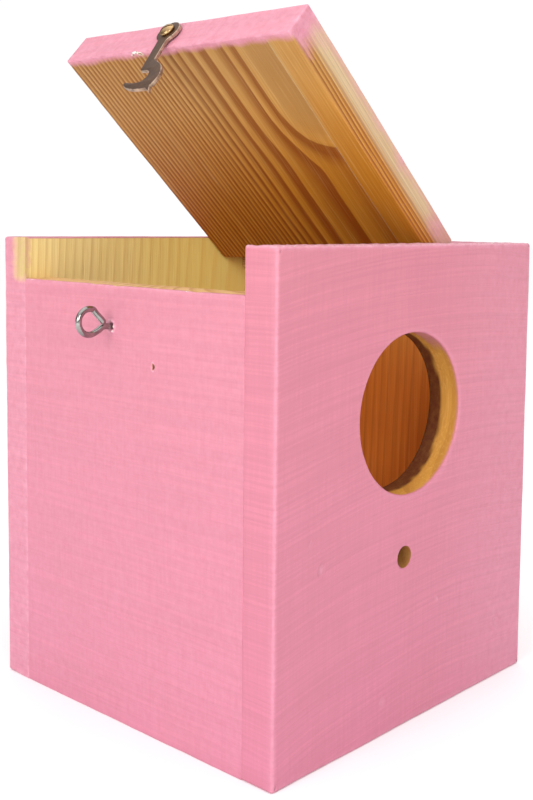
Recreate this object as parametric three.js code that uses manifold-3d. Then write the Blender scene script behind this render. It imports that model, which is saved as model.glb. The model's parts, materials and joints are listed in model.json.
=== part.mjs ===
// A small nest box for cage birds, built from painted pine boards and shown with its lid open.
// Front and back boards stand at the two ends, with two side walls and a floor between them. The top is a
// fixed strip over the hinge wall and a lid on two small butt hinges. A flat stamped hook on the lid's free
// edge swings over the shank of a screw eye in the latch wall to hold the lid shut.
//
// Millimetres, +Z up. The origin is on the ground under the middle of the box. The entrance hole faces -Y,
// the latch wall faces -X, and the lid's hinge axis runs along Y.
import * as THREE from "three";
import { mergeVertices } from "three/addons/utils/BufferGeometryUtils.js";
import Module from "manifold-3d";

const wasm = await Module();
wasm.setup();

// ---------------------------------------------------------------- driving dimensions
const boxWidth = 127;
const boxDepth = 127;
const boxHeight = 150;
const board = 12; // thickness of every board
const gap = 0.3; // clearance between pieces that touch
const latchWallDrop = 13.5; // how far the latch wall stops below the box's top
const stripWidth = 26.9; // the fixed part of the top, over the hinge wall
const lidHingeGap = 1.2; // saw-cut gap between the strip and the lid
const lidEndGap = 0.5; // clearance at each end of the lid, between the end boards
const openAngle = 42.4; // degrees that the lid stands open

const entrance = { x: -2.8, z: 98.4, radius: 25, sides: 56 };
const perchHole = { x: -5.6, z: 54, radius: 3.4, sides: 16 };

const hinge = {
  length: 20,
  leafThickness: 0.9,
  leafInner: 2, // from the hinge axis to the near edge of each leaf's plate
  leafOuter: 9.8,
  barrelRadius: 1.7,
  pinRadius: 0.75,
  screwOffset: 6, // from the hinge axis to the screws
  screwSpacing: 11,
  places: [-27, 27], // Y of the two hinges
};
const hingeAxis = {
  x: boxWidth / 2 - stripWidth - lidHingeGap / 2,
  z: boxHeight + gap + hinge.barrelRadius,
};

const nail = { length: 30, radius: 0.7, headRadius: 1.3, headThickness: 0.6, sunk: 0.6, sides: 8 };
const leafScrew = { length: 8.5, radius: 0.95, headRadius: 1.75, headHeight: 0.9, slot: 0.45, sides: 12 };
const hookScrew = { length: 12, radius: 1.15, headRadius: 2.5, headHeight: 1.4, slot: 0.6, sides: 20 };

const hookPlate = { thickness: 1.2, standOff: 0.5, eyeRadius: 4.3, holeRadius: 1.5, backEdge: 2.3 };
const hookPivot = { y: 2.8, below: 5.9 }; // below the lid's top, on its free edge
const hookTilt = 12; // degrees from straight down the lid's edge, away from the screw eye

const eye = { y: 6.5, z: 123.9, wireRadius: 0.97, loopRadius: 4.1, loopOut: 7.5, loopUp: 1.8, depth: 9 };

const finish = {
  pinkPaint: { color: 0xe8a3b4, roughness: 0.6, metalness: 0 },
  barePine: { color: 0xd9b878, roughness: 0.75, metalness: 0 },
  bronze: { color: 0x5a4030, roughness: 0.45, metalness: 0.9 },
  brass: { color: 0xb8945f, roughness: 0.35, metalness: 1 },
  zinc: { color: 0xc9c6c0, roughness: 0.25, metalness: 1 },
  steel: { color: 0x8e8c88, roughness: 0.4, metalness: 1 },
};

// ---------------------------------------------------------------- solids
const X = new THREE.Vector3(1, 0, 0);
const Y = new THREE.Vector3(0, 1, 0);
const Z = new THREE.Vector3(0, 0, 1);
const degrees = Math.PI / 180;

function toSolid(geometry) {
  const bare = geometry.clone();
  bare.deleteAttribute("normal");
  bare.deleteAttribute("uv");
  const merged = mergeVertices(bare, 1e-4);
  return new wasm.Manifold(new wasm.Mesh({
    numProp: 3,
    vertProperties: new Float32Array(merged.attributes.position.array),
    triVerts: new Uint32Array(merged.index.array),
  }));
}

function toGeometry(solid) {
  const mesh = solid.getMesh();
  const geometry = new THREE.BufferGeometry();
  geometry.setAttribute("position", new THREE.BufferAttribute(mesh.vertProperties, 3));
  geometry.setIndex(new THREE.BufferAttribute(mesh.triVerts, 1));
  return geometry;
}

function subtract(geometry, cutters) {
  let solid = toSolid(geometry);
  for (const cutter of cutters) solid = solid.subtract(toSolid(cutter));
  return toGeometry(solid);
}

function join(geometries) {
  let solid = toSolid(geometries[0]);
  for (const other of geometries.slice(1)) solid = solid.add(toSolid(other));
  return toGeometry(solid);
}

// A block between two corners.
function block(low, high) {
  const size = high.map((value, axis) => value - low[axis]);
  const middle = high.map((value, axis) => (value + low[axis]) / 2);
  return new THREE.BoxGeometry(...size).translate(...middle);
}

// A round solid from a profile of [radius, height along the direction], with height 0 at the given point.
function turned(profile, sides, at, direction) {
  const points = profile.map(([radius, height]) => new THREE.Vector2(radius, height));
  const geometry = new THREE.LatheGeometry(points, sides);
  geometry.applyQuaternion(new THREE.Quaternion().setFromUnitVectors(Y, direction));
  return geometry.translate(...at);
}

// A plain rod of the given radius, from one height to another along the direction.
function rod(radius, from, to, sides, at, direction) {
  return turned([[0, from], [radius, from], [radius, to], [0, to]], sides, at, direction);
}

function named(name, geometry, look) {
  const mesh = new THREE.Mesh(geometry, new THREE.MeshStandardMaterial(look));
  mesh.name = name;
  return mesh;
}

// ---------------------------------------------------------------- nails
// Each nail runs from a surface point into the wood. Its head is set below the surface, under filler.
function nailSolid(at, into) {
  const outward = into.clone().negate();
  const head = -nail.sunk;
  const profile = [
    [0, -nail.length],
    [nail.radius, 2 - nail.length],
    [nail.radius, head - nail.headThickness],
    [nail.headRadius, head - nail.headThickness / 2],
    [nail.headRadius, head],
    [0, head],
  ];
  return turned(profile, nail.sides, at, outward);
}

function nailHole(at, into) {
  const outward = into.clone().negate();
  const headFloor = -nail.sunk - nail.headThickness - gap;
  const profile = [
    [0, -nail.length - gap],
    [nail.radius + gap, -nail.length - gap],
    [nail.radius + gap, headFloor],
    [nail.headRadius + gap, headFloor],
    [nail.headRadius + gap, 1],
    [0, 1],
  ];
  return turned(profile, nail.sides, at, outward);
}

const halfWidth = boxWidth / 2;
const halfDepth = boxDepth / 2;
const wallMiddle = halfWidth - board / 2;
const wallNailHeights = [20, 74, 128];
const endNails = [];
for (const [side, sign] of [["front", -1], ["back", 1]]) {
  const into = Y.clone().multiplyScalar(-sign);
  const y = sign * halfDepth;
  wallNailHeights.forEach((z, number) => {
    endNails.push({ name: `nail_${side}_latch_${number + 1}`, at: [-wallMiddle, y, z], into, through: "latch" });
    endNails.push({ name: `nail_${side}_hinge_${number + 1}`, at: [wallMiddle, y, z], into, through: "hinge" });
  });
  [-26, 26].forEach((x, number) => {
    endNails.push({ name: `nail_${side}_floor_${number + 1}`, at: [x, y, board / 2], into, through: "floor" });
  });
  endNails.push({ name: `nail_${side}_strip`, at: [50, y, boxHeight - board / 2], into, through: "strip" });
}
const stripNails = [-20, 20].map((y, number) => ({
  name: `nail_strip_${number + 1}`,
  at: [wallMiddle, y, boxHeight],
  into: Z.clone().negate(),
}));
const holesInto = (piece) => endNails.filter((one) => one.through === piece).map((one) => nailHole(one.at, one.into));
const holesFrom = (side) =>
  endNails.filter((one) => one.name.startsWith(`nail_${side}`)).map((one) => nailHole(one.at, one.into));
const stripNailHoles = stripNails.map((one) => nailHole(one.at, one.into));

// ---------------------------------------------------------------- boards
const innerWidth = halfWidth - board;
const innerDepth = halfDepth - board;

function frontBoard() {
  const panel = block([-halfWidth, -halfDepth, 0], [halfWidth, -innerDepth, boxHeight]);
  const through = (hole) => rod(hole.radius, -2, board + 2, hole.sides, [hole.x, -halfDepth, hole.z], Y);
  return subtract(panel, [through(entrance), through(perchHole), ...holesFrom("front")]);
}

function backBoard() {
  return subtract(block([-halfWidth, innerDepth, 0], [halfWidth, halfDepth, boxHeight]), holesFrom("back"));
}

function latchWall() {
  const low = [-halfWidth, -innerDepth + gap, 0];
  const high = [-innerWidth, innerDepth - gap, boxHeight - latchWallDrop];
  const eyeHole = rod(eye.wireRadius + gap, -eye.depth - gap, 1, 12, [-halfWidth, eye.y, eye.z], X.clone().negate());
  return subtract(block(low, high), [eyeHole, ...holesInto("latch")]);
}

function hingeWall() {
  const low = [innerWidth, -innerDepth + gap, 0];
  const high = [halfWidth, innerDepth - gap, boxHeight - board - gap];
  return subtract(block(low, high), [...holesInto("hinge"), ...stripNailHoles]);
}

function floorBoard() {
  const low = [-innerWidth + gap, -innerDepth + gap, 0];
  const high = [innerWidth - gap, innerDepth - gap, board];
  return subtract(block(low, high), holesInto("floor"));
}

// ---------------------------------------------------------------- hinges
const side = { strip: 1, lid: -1 }; // the side of the hinge axis that a leaf lies on
const leafScrewPlaces = (middle) => [middle - hinge.screwSpacing / 2, middle + hinge.screwSpacing / 2];
const leafTop = boxHeight + gap + hinge.leafThickness;
const screwX = (leafSide) => hingeAxis.x + leafSide * hinge.screwOffset;

function leafScrewSolid(leafSide, y) {
  const at = [screwX(leafSide), y, leafTop];
  const profile = [
    [0, -leafScrew.length],
    [leafScrew.radius, 2.5 - leafScrew.length],
    [leafScrew.radius, -leafScrew.headHeight],
    [leafScrew.headRadius, 0],
    [0, 0],
  ];
  const slot = block(
    [at[0] - 3, y - leafScrew.slot / 2, leafTop - 0.4],
    [at[0] + 3, y + leafScrew.slot / 2, leafTop + 1],
  );
  return subtract(turned(profile, leafScrew.sides, at, Z), [slot]);
}

function leafScrewHole(leafSide, y) {
  const waist = -leafScrew.headHeight;
  const profile = [
    [0, -leafScrew.length - gap],
    [leafScrew.radius + gap, -leafScrew.length - gap],
    [leafScrew.radius + gap, waist - gap],
    [leafScrew.headRadius + gap, 0],
    [leafScrew.headRadius + gap, 1],
    [0, 1],
  ];
  return turned(profile, leafScrew.sides, [screwX(leafSide), y, leafTop], Z);
}

// A leaf is a flat plate with barrels rolled round the pin: two outer ones on the strip's leaf, and one
// between them on the lid's leaf.
function leaf(leafSide, middle) {
  const third = hinge.length / 3;
  const barrels = leafSide === side.strip
    ? [[-hinge.length / 2, -third / 2 - gap / 2], [third / 2 + gap / 2, hinge.length / 2]]
    : [[-third / 2 + gap / 2, third / 2 - gap / 2]];
  const plateX = [hinge.leafInner, hinge.leafOuter].map((out) => hingeAxis.x + leafSide * out).sort((a, b) => a - b);
  const low = boxHeight + gap;
  const pieces = [block([plateX[0], middle - hinge.length / 2, low], [plateX[1], middle + hinge.length / 2, leafTop])];
  const axisAt = [hingeAxis.x, middle, hingeAxis.z];
  const reach = [hingeAxis.x, hingeAxis.x + leafSide * (hinge.leafInner + 0.5)].sort((a, b) => a - b);
  for (const [from, to] of barrels) {
    pieces.push(rod(hinge.barrelRadius, from, to, 20, axisAt, Y));
    pieces.push(block([reach[0], middle + from, low], [reach[1], middle + to, leafTop]));
  }
  const bore = rod(hinge.pinRadius + gap, -hinge.length, hinge.length, 12, axisAt, Y);
  const screwHoles = leafScrewPlaces(middle).map((y) => leafScrewHole(leafSide, y));
  return subtract(join(pieces), [bore, ...screwHoles]);
}

const hingeScrewHoles = (leafSide) =>
  hinge.places.flatMap((middle) => leafScrewPlaces(middle).map((y) => leafScrewHole(leafSide, y)));

function topStrip() {
  const low = [halfWidth - stripWidth, -innerDepth + gap, boxHeight - board];
  const high = [halfWidth, innerDepth - gap, boxHeight];
  return subtract(block(low, high), [...holesInto("strip"), ...stripNailHoles, ...hingeScrewHoles(side.strip)]);
}

// ---------------------------------------------------------------- lid, shut
const lidEnd = innerDepth - lidEndGap;
const pivotZ = boxHeight - hookPivot.below;

function lidBoard() {
  const low = [-halfWidth, -lidEnd, boxHeight - board];
  const high = [hingeAxis.x - lidHingeGap / 2, lidEnd, boxHeight];
  const depth = hookScrew.length - hookPlate.thickness - hookPlate.standOff - gap;
  const pilot = rod(hookScrew.radius + gap, -1, depth + gap, 12, [-halfWidth, hookPivot.y, pivotZ], X);
  return subtract(block(low, high), [pilot, ...hingeScrewHoles(side.lid)]);
}

// ---------------------------------------------------------------- hook, screw and eye
// The hook's outline, seen from outside with the pivot at the origin and its end hanging down.
function hookOutline() {
  const outline = new THREE.Shape();
  const { eyeRadius, backEdge } = hookPlate;
  const neck = -Math.PI / 2 - Math.asin(backEdge / eyeRadius); // where the straight back meets the eyelet
  outline.moveTo(7, -30.3); // the thumb tab
  outline.lineTo(4.8, -28.2);
  outline.quadraticCurveTo(-2.4, -27.4, -6, -24);
  outline.quadraticCurveTo(-7.1, -22.9, -5.9, -22.3); // the blunt tip
  outline.quadraticCurveTo(-2.8, -23.9, -0.6, -24);
  outline.absarc(0, -21.4, 2.65, -90 * degrees, 80 * degrees, false); // the throat
  outline.lineTo(-backEdge, -18.1); // the beak
  outline.absarc(0, 0, eyeRadius, neck, -58 * degrees, true); // round the top of the eyelet
  outline.quadraticCurveTo(1.5, -4.4, 1.45, -6);
  outline.lineTo(1.4, -13.6);
  outline.bezierCurveTo(2.2, -15.2, 7.6, -17, 7.8, -23); // the swollen back
  outline.quadraticCurveTo(7.7, -25.6, 6.3, -27.4);
  return outline;
}

function hookSolid() {
  const plate = new THREE.ExtrudeGeometry(hookOutline(), {
    depth: hookPlate.thickness,
    bevelEnabled: false,
    curveSegments: 8,
  });
  const hole = rod(hookPlate.holeRadius, -1, hookPlate.thickness + 1, 16, [0, 0, 0], Z);
  return subtract(plate, [hole]).translate(0, 0, hookPlate.standOff);
}

// The hook's screw, with height 0 at the face of the wood.
function hookScrewSolid() {
  const seat = hookPlate.standOff + hookPlate.thickness + gap;
  const { radius, headRadius, headHeight, length, slot } = hookScrew;
  const profile = [
    [0, seat - length],
    [radius, seat - length + 3],
    [radius, seat],
    [headRadius, seat],
    [headRadius * 0.94, seat + headHeight * 0.5],
    [headRadius * 0.72, seat + headHeight * 0.82],
    [headRadius * 0.38, seat + headHeight * 0.96],
    [0, seat + headHeight],
  ];
  const top = seat + headHeight;
  const groove = block([-4, -slot / 2, top - 0.8], [4, slot / 2, top + 1]).rotateZ(35 * degrees);
  return subtract(turned(profile, hookScrew.sides, [0, 0, 0], Z), [groove]);
}

// The screw eye's wire, in the plane of its loop: x is outwards from the wall and y is up.
function eyeSolid() {
  const points = [[-eye.depth, 0], [-5, 0], [-2, 0], [0.8, 0], [2.8, -0.4]];
  for (let angle = 236; angle <= 530; angle += 21) {
    const turn = angle * degrees;
    points.push([eye.loopOut + eye.loopRadius * Math.cos(turn), eye.loopUp + eye.loopRadius * Math.sin(turn)]);
  }
  const path = new THREE.CatmullRomCurve3(points.map(([x, y]) => new THREE.Vector3(x, y, 0)));
  const sides = 10;
  const section = new THREE.Shape();
  for (let corner = 0; corner < sides; corner += 1) {
    const turn = (2 * Math.PI * corner) / sides;
    const x = eye.wireRadius * Math.cos(turn);
    const y = eye.wireRadius * Math.sin(turn);
    if (corner === 0) section.moveTo(x, y);
    else section.lineTo(x, y);
  }
  return new THREE.ExtrudeGeometry(section, { steps: 56, extrudePath: path, bevelEnabled: false });
}

// ---------------------------------------------------------------- assembly
const nestBox = new THREE.Group();

nestBox.add(named("front_board", frontBoard(), finish.pinkPaint));
nestBox.add(named("back_board", backBoard(), finish.pinkPaint));
nestBox.add(named("latch_wall", latchWall(), finish.pinkPaint));
nestBox.add(named("hinge_wall", hingeWall(), finish.pinkPaint));
nestBox.add(named("floor_board", floorBoard(), finish.barePine));
nestBox.add(named("top_strip", topStrip(), finish.pinkPaint));
for (const one of [...endNails, ...stripNails]) {
  nestBox.add(named(one.name, nailSolid(one.at, one.into), finish.steel));
}

// The wall's outward direction is the loop's x, and the loop stands upright.
const screwEye = named("screw_eye", eyeSolid(), finish.zinc);
const eyeFrame = new THREE.Group();
eyeFrame.position.set(-halfWidth, eye.y, eye.z);
eyeFrame.quaternion.setFromRotationMatrix(new THREE.Matrix4().makeBasis(X.clone().negate(), Z, Y));
eyeFrame.add(screwEye);
nestBox.add(eyeFrame);

// The lid's pieces are made shut, then swing open together about the hinge axis.
const lidSwing = new THREE.Group();
lidSwing.position.set(hingeAxis.x, 0, hingeAxis.z);
lidSwing.rotation.y = openAngle * degrees;
nestBox.add(lidSwing);
const shutLid = new THREE.Group();
shutLid.position.set(-hingeAxis.x, 0, -hingeAxis.z);
lidSwing.add(shutLid);
shutLid.add(named("lid", lidBoard(), finish.pinkPaint));

hinge.places.forEach((middle) => {
  const place = middle < 0 ? "front" : "back";
  nestBox.add(named(`hinge_${place}_strip_leaf`, leaf(side.strip, middle), finish.bronze));
  shutLid.add(named(`hinge_${place}_lid_leaf`, leaf(side.lid, middle), finish.bronze));
  const half = hinge.length / 2;
  const pin = rod(hinge.pinRadius, -half, half, 12, [hingeAxis.x, middle, hingeAxis.z], Y);
  nestBox.add(named(`hinge_${place}_pin`, pin, finish.brass));
  leafScrewPlaces(middle).forEach((y, number) => {
    nestBox.add(named(`screw_${place}_strip_${number + 1}`, leafScrewSolid(side.strip, y), finish.brass));
    shutLid.add(named(`screw_${place}_lid_${number + 1}`, leafScrewSolid(side.lid, y), finish.brass));
  });
});

// On the lid's free edge, x runs towards the entrance, y up and z out of the edge.
const edgeFrame = new THREE.Group();
edgeFrame.position.set(-halfWidth, hookPivot.y, pivotZ);
edgeFrame.quaternion.setFromRotationMatrix(
  new THREE.Matrix4().makeBasis(Y.clone().negate(), Z, X.clone().negate()),
);
shutLid.add(edgeFrame);
edgeFrame.add(named("hook_screw", hookScrewSolid(), finish.brass));
const hookSwing = new THREE.Group();
hookSwing.rotation.z = hookTilt * degrees;
hookSwing.add(named("hook", hookSolid(), finish.bronze));
edgeFrame.add(hookSwing);

export default nestBox;
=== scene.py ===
"""A painted pine nest box for cage birds, with its lid propped open: the finished surfaces and materials.

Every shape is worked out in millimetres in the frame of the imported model, +Z up, entrance towards -Y and
latch wall towards -X, and becomes metres when its mesh is made. The lid and what it carries are worked out
shut and then turned about the hinge axis to where the model holds them.
"""
import json
import math

import bpy
import numpy as np
from bpy.props import FloatProperty, FloatVectorProperty, PointerProperty
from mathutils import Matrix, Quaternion, Vector
from mathutils.geometry import tessellate_polygon


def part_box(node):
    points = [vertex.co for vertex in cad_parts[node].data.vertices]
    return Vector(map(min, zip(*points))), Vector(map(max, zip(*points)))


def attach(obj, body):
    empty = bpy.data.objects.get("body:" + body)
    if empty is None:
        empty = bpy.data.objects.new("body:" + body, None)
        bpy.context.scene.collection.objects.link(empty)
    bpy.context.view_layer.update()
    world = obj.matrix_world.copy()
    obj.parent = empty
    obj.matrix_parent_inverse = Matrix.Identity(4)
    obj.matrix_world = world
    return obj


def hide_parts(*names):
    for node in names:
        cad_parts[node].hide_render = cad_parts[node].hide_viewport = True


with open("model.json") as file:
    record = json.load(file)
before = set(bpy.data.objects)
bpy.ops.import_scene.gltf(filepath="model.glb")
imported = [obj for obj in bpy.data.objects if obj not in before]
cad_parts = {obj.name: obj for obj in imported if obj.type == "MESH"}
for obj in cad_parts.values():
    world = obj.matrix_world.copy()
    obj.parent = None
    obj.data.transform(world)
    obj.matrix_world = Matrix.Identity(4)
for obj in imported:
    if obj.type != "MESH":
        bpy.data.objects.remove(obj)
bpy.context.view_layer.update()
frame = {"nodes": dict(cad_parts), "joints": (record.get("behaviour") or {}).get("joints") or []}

bl_info = {
    "name": "Painted nest box",
    "version": (1, 0, 0),
    "blender": (4, 5, 0),
    "location": "3D View > Sidebar > Nest box",
    "description": "Builds a painted pine nest box with a hinged lid, hook and screw eye round its model",
    "category": "Add Mesh",
}

MM = 0.001


def span(node):
    """Lowest and highest corner of a node of the model, in millimetres."""
    low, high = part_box(node)
    return np.array(low) / MM, np.array(high) / MM


def joint(name):
    """One joint of the model, by name."""
    return next(one for one in frame["joints"] if one["name"] == name)


FRONT_LOW, FRONT_HIGH = span("front_board")
BACK_LOW, BACK_HIGH = span("back_board")
HINGE_AXIS = np.array(joint("lid_hinge")["pos_m"]) / MM
OPEN_ANGLE = -math.radians(joint("lid_hinge")["range_deg"][0])
HOOK_PIVOT = np.array(joint("hook_pivot")["pos_m"]) / MM
HALF_WIDTH = float(FRONT_HIGH[0])
TOP = float(FRONT_HIGH[2])
BOARD = float(FRONT_HIGH[1] - FRONT_LOW[1])
INNER = float(BACK_LOW[1])  # half the clear width between the end boards


# -------------------------------------------------------------------------------------------------- settings
def length(name, description, value_mm):
    """A length setting, given in millimetres and kept in metres."""
    return FloatProperty(name=name, description=description, default=value_mm * MM, unit="LENGTH",
                         precision=5)


def colour(name, description, value):
    """A colour setting."""
    return FloatVectorProperty(name=name, description=description, default=value, size=3, subtype="COLOR",
                               min=0, max=1)


class NestBoxSizes(bpy.types.PropertyGroup):
    """Sizes that a maker would change."""

    edge_round: length("Outer edge rounding", "Radius of the painted outer edges", 0.9)
    seam_round: length("Seam rounding", "Radius of the edges where two boards meet", 0.16)
    mesh_step: length("Surface step", "Distance between the grid lines of a board", 1.3)
    unevenness: length("Unevenness", "How far the brushed surface wanders from a true plane", 0.09)
    hole_lip: length("Entrance lip", "Rounding of the entrance hole's painted rim", 0.7)
    plate: length("Hook plate", "Thickness of the stamped hook", 1.2)
    wire: length("Eye wire", "Radius of the screw eye's wire", 0.97)
    loop: length("Eye loop", "Radius of the screw eye's loop at the wire's middle", 3.89)
    leaf: length("Hinge leaf", "Thickness of a hinge leaf", 0.9)
    hook_tilt: FloatProperty(
        name="Hook tilt",
        description="How far the hook hangs from straight down the lid's edge",
        default=math.radians(12),
        subtype="ANGLE",
    )


class NestBoxColours(bpy.types.PropertyGroup):
    """Colours of the finishes."""

    paint: colour("Paint", "Satin pink paint", (0.622, 0.215, 0.287))
    bronze: colour("Antique bronze", "Stamped hook and hinges", (0.082, 0.038, 0.018))
    # bright bronze of rubbed edges, also a painted highlight along the hook's edges
    worn_bronze: colour("Worn bronze", "Where the finish has rubbed off", (0.62, 0.45, 0.33))
    brass: colour("Brass", "Hook screw, hinge screws and pins", (0.42, 0.27, 0.13))
    zinc: colour("Zinc", "Bright plated wire", (0.31, 0.297, 0.283))


# ---------------------------------------------------------------------------------------------------- arrays
def unit(vectors):
    """The vectors, each divided by its length."""
    return vectors / np.maximum(np.linalg.norm(vectors, axis=-1, keepdims=True), 1e-9)


def ripple(points, wavelength, seed, count=9):
    """Smooth uneven values from about -1 to 1: summed sine waves of seeded directions and phases."""
    rng = np.random.default_rng(seed)
    directions = unit(rng.normal(size=(count, 3)))
    waves = directions * (2 * np.pi / wavelength) * rng.uniform(0.6, 1.6, (count, 1))
    phases = rng.uniform(0, 2 * np.pi, count)
    return np.sin(points @ waves.T + phases).sum(1) / math.sqrt(count)


def fade(value, start, end):
    """0 at start, 1 at end, with a smooth cubic between them: 3t^2 - 2t^3."""
    t = np.clip((value - start) / (end - start), 0, 1)
    return t * t * (3 - 2 * t)


def vertex_normals(points, faces):
    """Outward unit normals: each vertex takes the sum of the cross products of its quads' diagonals."""
    corners = points[faces]
    face = np.cross(corners[:, 2] - corners[:, 0], corners[:, 3] - corners[:, 1])
    total = np.zeros_like(points)
    for corner in range(4):
        np.add.at(total, faces[:, corner], face)
    return unit(total)


def grid_lines(low, high, radius, step, extra=()):
    """Grid lines from low to high: a regular step, with lines at radius * (1 - tan a) from each end, so that
    they lie at even angles round the edge's bend, and any extra lines asked for."""
    bend = radius * (1 - np.tan(np.radians([45, 33, 22, 11, 0])))
    inner = np.linspace(low + radius, high - radius, max(2, int(round((high - low) / step)) + 1))
    lines = np.concatenate([low + bend, inner, high - bend, np.array(extra, float)])
    lines = np.sort(lines[(lines >= low) & (lines <= high)])
    return lines[np.concatenate([[True], np.diff(lines) > 1e-4])]


def block_surface(lines):
    """The welded surface of a block: six grids over its three sets of grid lines, their quads facing out."""
    points, faces, start = [], [], 0
    for axis in range(3):
        first, second = lines[(axis + 1) % 3], lines[(axis + 2) % 3]
        a, b = np.meshgrid(first, second, indexing="ij")
        numbers = np.arange(a.size).reshape(a.shape)
        quads = np.stack([numbers[:-1, :-1], numbers[1:, :-1], numbers[1:, 1:], numbers[:-1, 1:]],
                         -1).reshape(-1, 4)
        for value, order in ((lines[axis][-1], quads), (lines[axis][0], quads[:, ::-1])):
            side = np.empty((a.size, 3))
            side[:, axis] = value
            side[:, (axis + 1) % 3] = a.ravel()
            side[:, (axis + 2) % 3] = b.ravel()
            points.append(side)
            faces.append(order + start)
            start += a.size
    points, faces = np.concatenate(points), np.concatenate(faces)
    _, keep, welded = np.unique(np.round(points, 4), axis=0, return_index=True, return_inverse=True)
    return points[keep], welded.ravel()[faces]


def round_edges(points, low, high, radius):
    """Rounds a block's edges: with c the point held inside the block shrunk by the radius, p becomes
    c + radius * (p - c) / |p - c|. The radius may be one number or one for each point."""
    radius = np.broadcast_to(np.asarray(radius, float), (len(points),))[:, None]
    core = np.clip(points, low + radius, high - radius)
    away = points - core
    return core + radius * away / np.maximum(np.linalg.norm(away, axis=1, keepdims=True), 1e-9)


def ring_quads(numbers):
    """Quads between rows of numbered points, each row closed into a ring."""
    right = np.roll(numbers, -1, axis=1)
    return np.stack([numbers[:-1], right[:-1], right[1:], numbers[1:]], -1).reshape(-1, 4).tolist()


def close_rings(rings, first_pole=None, last_pole=None):
    """Joins rings of equal length into one surface, closed along each ring, with a fan of triangles to a pole
    at either end. The rings run from the first pole to the last, anticlockwise seen from the last."""
    count, around = rings.shape[:2]
    numbers = np.arange(count * around).reshape(count, around)
    right = np.roll(numbers, -1, axis=1)
    points, faces = rings.reshape(-1, 3), ring_quads(numbers)
    for pole, one, next_one in ((first_pole, right[0], numbers[0]), (last_pole, numbers[-1], right[-1])):
        if pole is not None:
            points = np.vstack([points, pole])
            faces += np.stack([one, next_one, np.full(around, len(points) - 1)], -1).tolist()
    return points, faces


def lathe(profile, sides, place=(0, 0, 0), turn=None):
    """A turned solid: each (radius, height) of the profile becomes a ring (r cos t, r sin t, h), and the
    first and last heights, whose radius is 0, become poles. turn holds the images of x, y and z."""
    profile = np.asarray(profile, float)
    t = np.arange(sides) * 2 * np.pi / sides
    inner = profile[1:-1]
    rings = np.stack([
        inner[:, :1] * np.cos(t),
        inner[:, :1] * np.sin(t),
        np.broadcast_to(inner[:, 1:], (len(inner), sides)),
    ], -1)
    points, faces = close_rings(rings, [[0, 0, profile[0, 1]]], [[0, 0, profile[-1, 1]]])
    if turn is not None:
        points = points @ np.asarray(turn, float)
    return points + np.asarray(place, float), faces


def swing(points, angle):
    """Turns points about the hinge axis: (x, z) from it becomes (x cos t + z sin t, z cos t - x sin t)."""
    offset = np.asarray(points, float) - HINGE_AXIS
    cos, sin = math.cos(angle), math.sin(angle)
    x = offset[:, 0] * cos + offset[:, 2] * sin
    z = offset[:, 2] * cos - offset[:, 0] * sin
    return np.stack([x, offset[:, 1], z], 1) + HINGE_AXIS


def swing_open(points):
    """Turns points from where they are with the lid shut to where the lid stands open."""
    return swing(points, OPEN_ANGLE)


def shut(point):
    """Where a point of the open lid lies with the lid shut."""
    return swing([point], -OPEN_ANGLE)[0]


def spin(points, angle):
    """Turns points about the Z axis: (x, y) becomes (x cos t - y sin t, x sin t + y cos t)."""
    cos, sin = math.cos(angle), math.sin(angle)
    x = points[:, 0] * cos - points[:, 1] * sin
    y = points[:, 0] * sin + points[:, 1] * cos
    return np.stack([x, y, points[:, 2]], 1)


def merge(parts):
    """Several surfaces as one: their points and faces, renumbered."""
    points, faces, start = [], [], 0
    for part_points, part_faces in parts:
        points.append(part_points)
        faces += [[number + start for number in face] for face in part_faces]
        start += len(part_points)
    return np.concatenate(points), faces


# ---------------------------------------------------------------------------------------------------- pieces
def make_mesh(name, points, faces):
    """A mesh object from points in millimetres, shaded smooth."""
    mesh = bpy.data.meshes.new(name)
    mesh.from_pydata((np.asarray(points) * MM).tolist(), [],
                     faces.tolist() if hasattr(faces, "tolist") else faces)
    mesh.polygons.foreach_set("use_smooth", [True] * len(mesh.polygons))
    mesh.update()
    piece = bpy.data.objects.new(name, mesh)
    bpy.context.scene.collection.objects.link(piece)
    return piece


def mesh_points(piece):
    """A piece's points, in millimetres."""
    points = np.empty(len(piece.data.vertices) * 3, np.float32)
    piece.data.vertices.foreach_get("co", points)
    return points.reshape(-1, 3).astype(float) / MM


def store(piece, **values):
    """Keeps a value for each point, or one for all: numbers as a float attribute, triples as a vector one."""
    for name, value in values.items():
        value = np.asarray(value, np.float32)
        if value.ndim == 0:
            value = np.full(len(piece.data.vertices), value)
        kind, key = ("FLOAT_VECTOR", "vector") if value.ndim == 2 else ("FLOAT", "value")
        layer = piece.data.attributes.new(name, kind, "POINT")
        layer.data.foreach_set(key, value.ravel())


def settle(piece, body, slot, material, *nodes):
    """Gives a piece its finish and its place in the model."""
    piece.data.materials.append(material)
    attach(piece, body)
    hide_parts(*nodes)


def cut(piece, cutters):
    """Cuts closed shapes out of a piece, and leaves plain mesh behind."""
    for points, faces in cutters:
        tool = make_mesh("cutter", points, faces)
        modifier = piece.modifiers.new("cut", "BOOLEAN")
        modifier.operation = "DIFFERENCE"
        modifier.solver = "EXACT"
        modifier.object = tool
        done = bpy.data.meshes.new_from_object(piece.evaluated_get(bpy.context.evaluated_depsgraph_get()))
        piece.modifiers.clear()
        old = piece.data
        piece.data = done
        done.name = piece.name
        bpy.data.meshes.remove(old)
        bpy.data.objects.remove(tool)


def sharpen(piece, degrees):
    """Marks edges sharper than an angle, so that smooth shading stops at them."""
    piece.data.set_sharp_from_angle(angle=math.radians(degrees))


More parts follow.
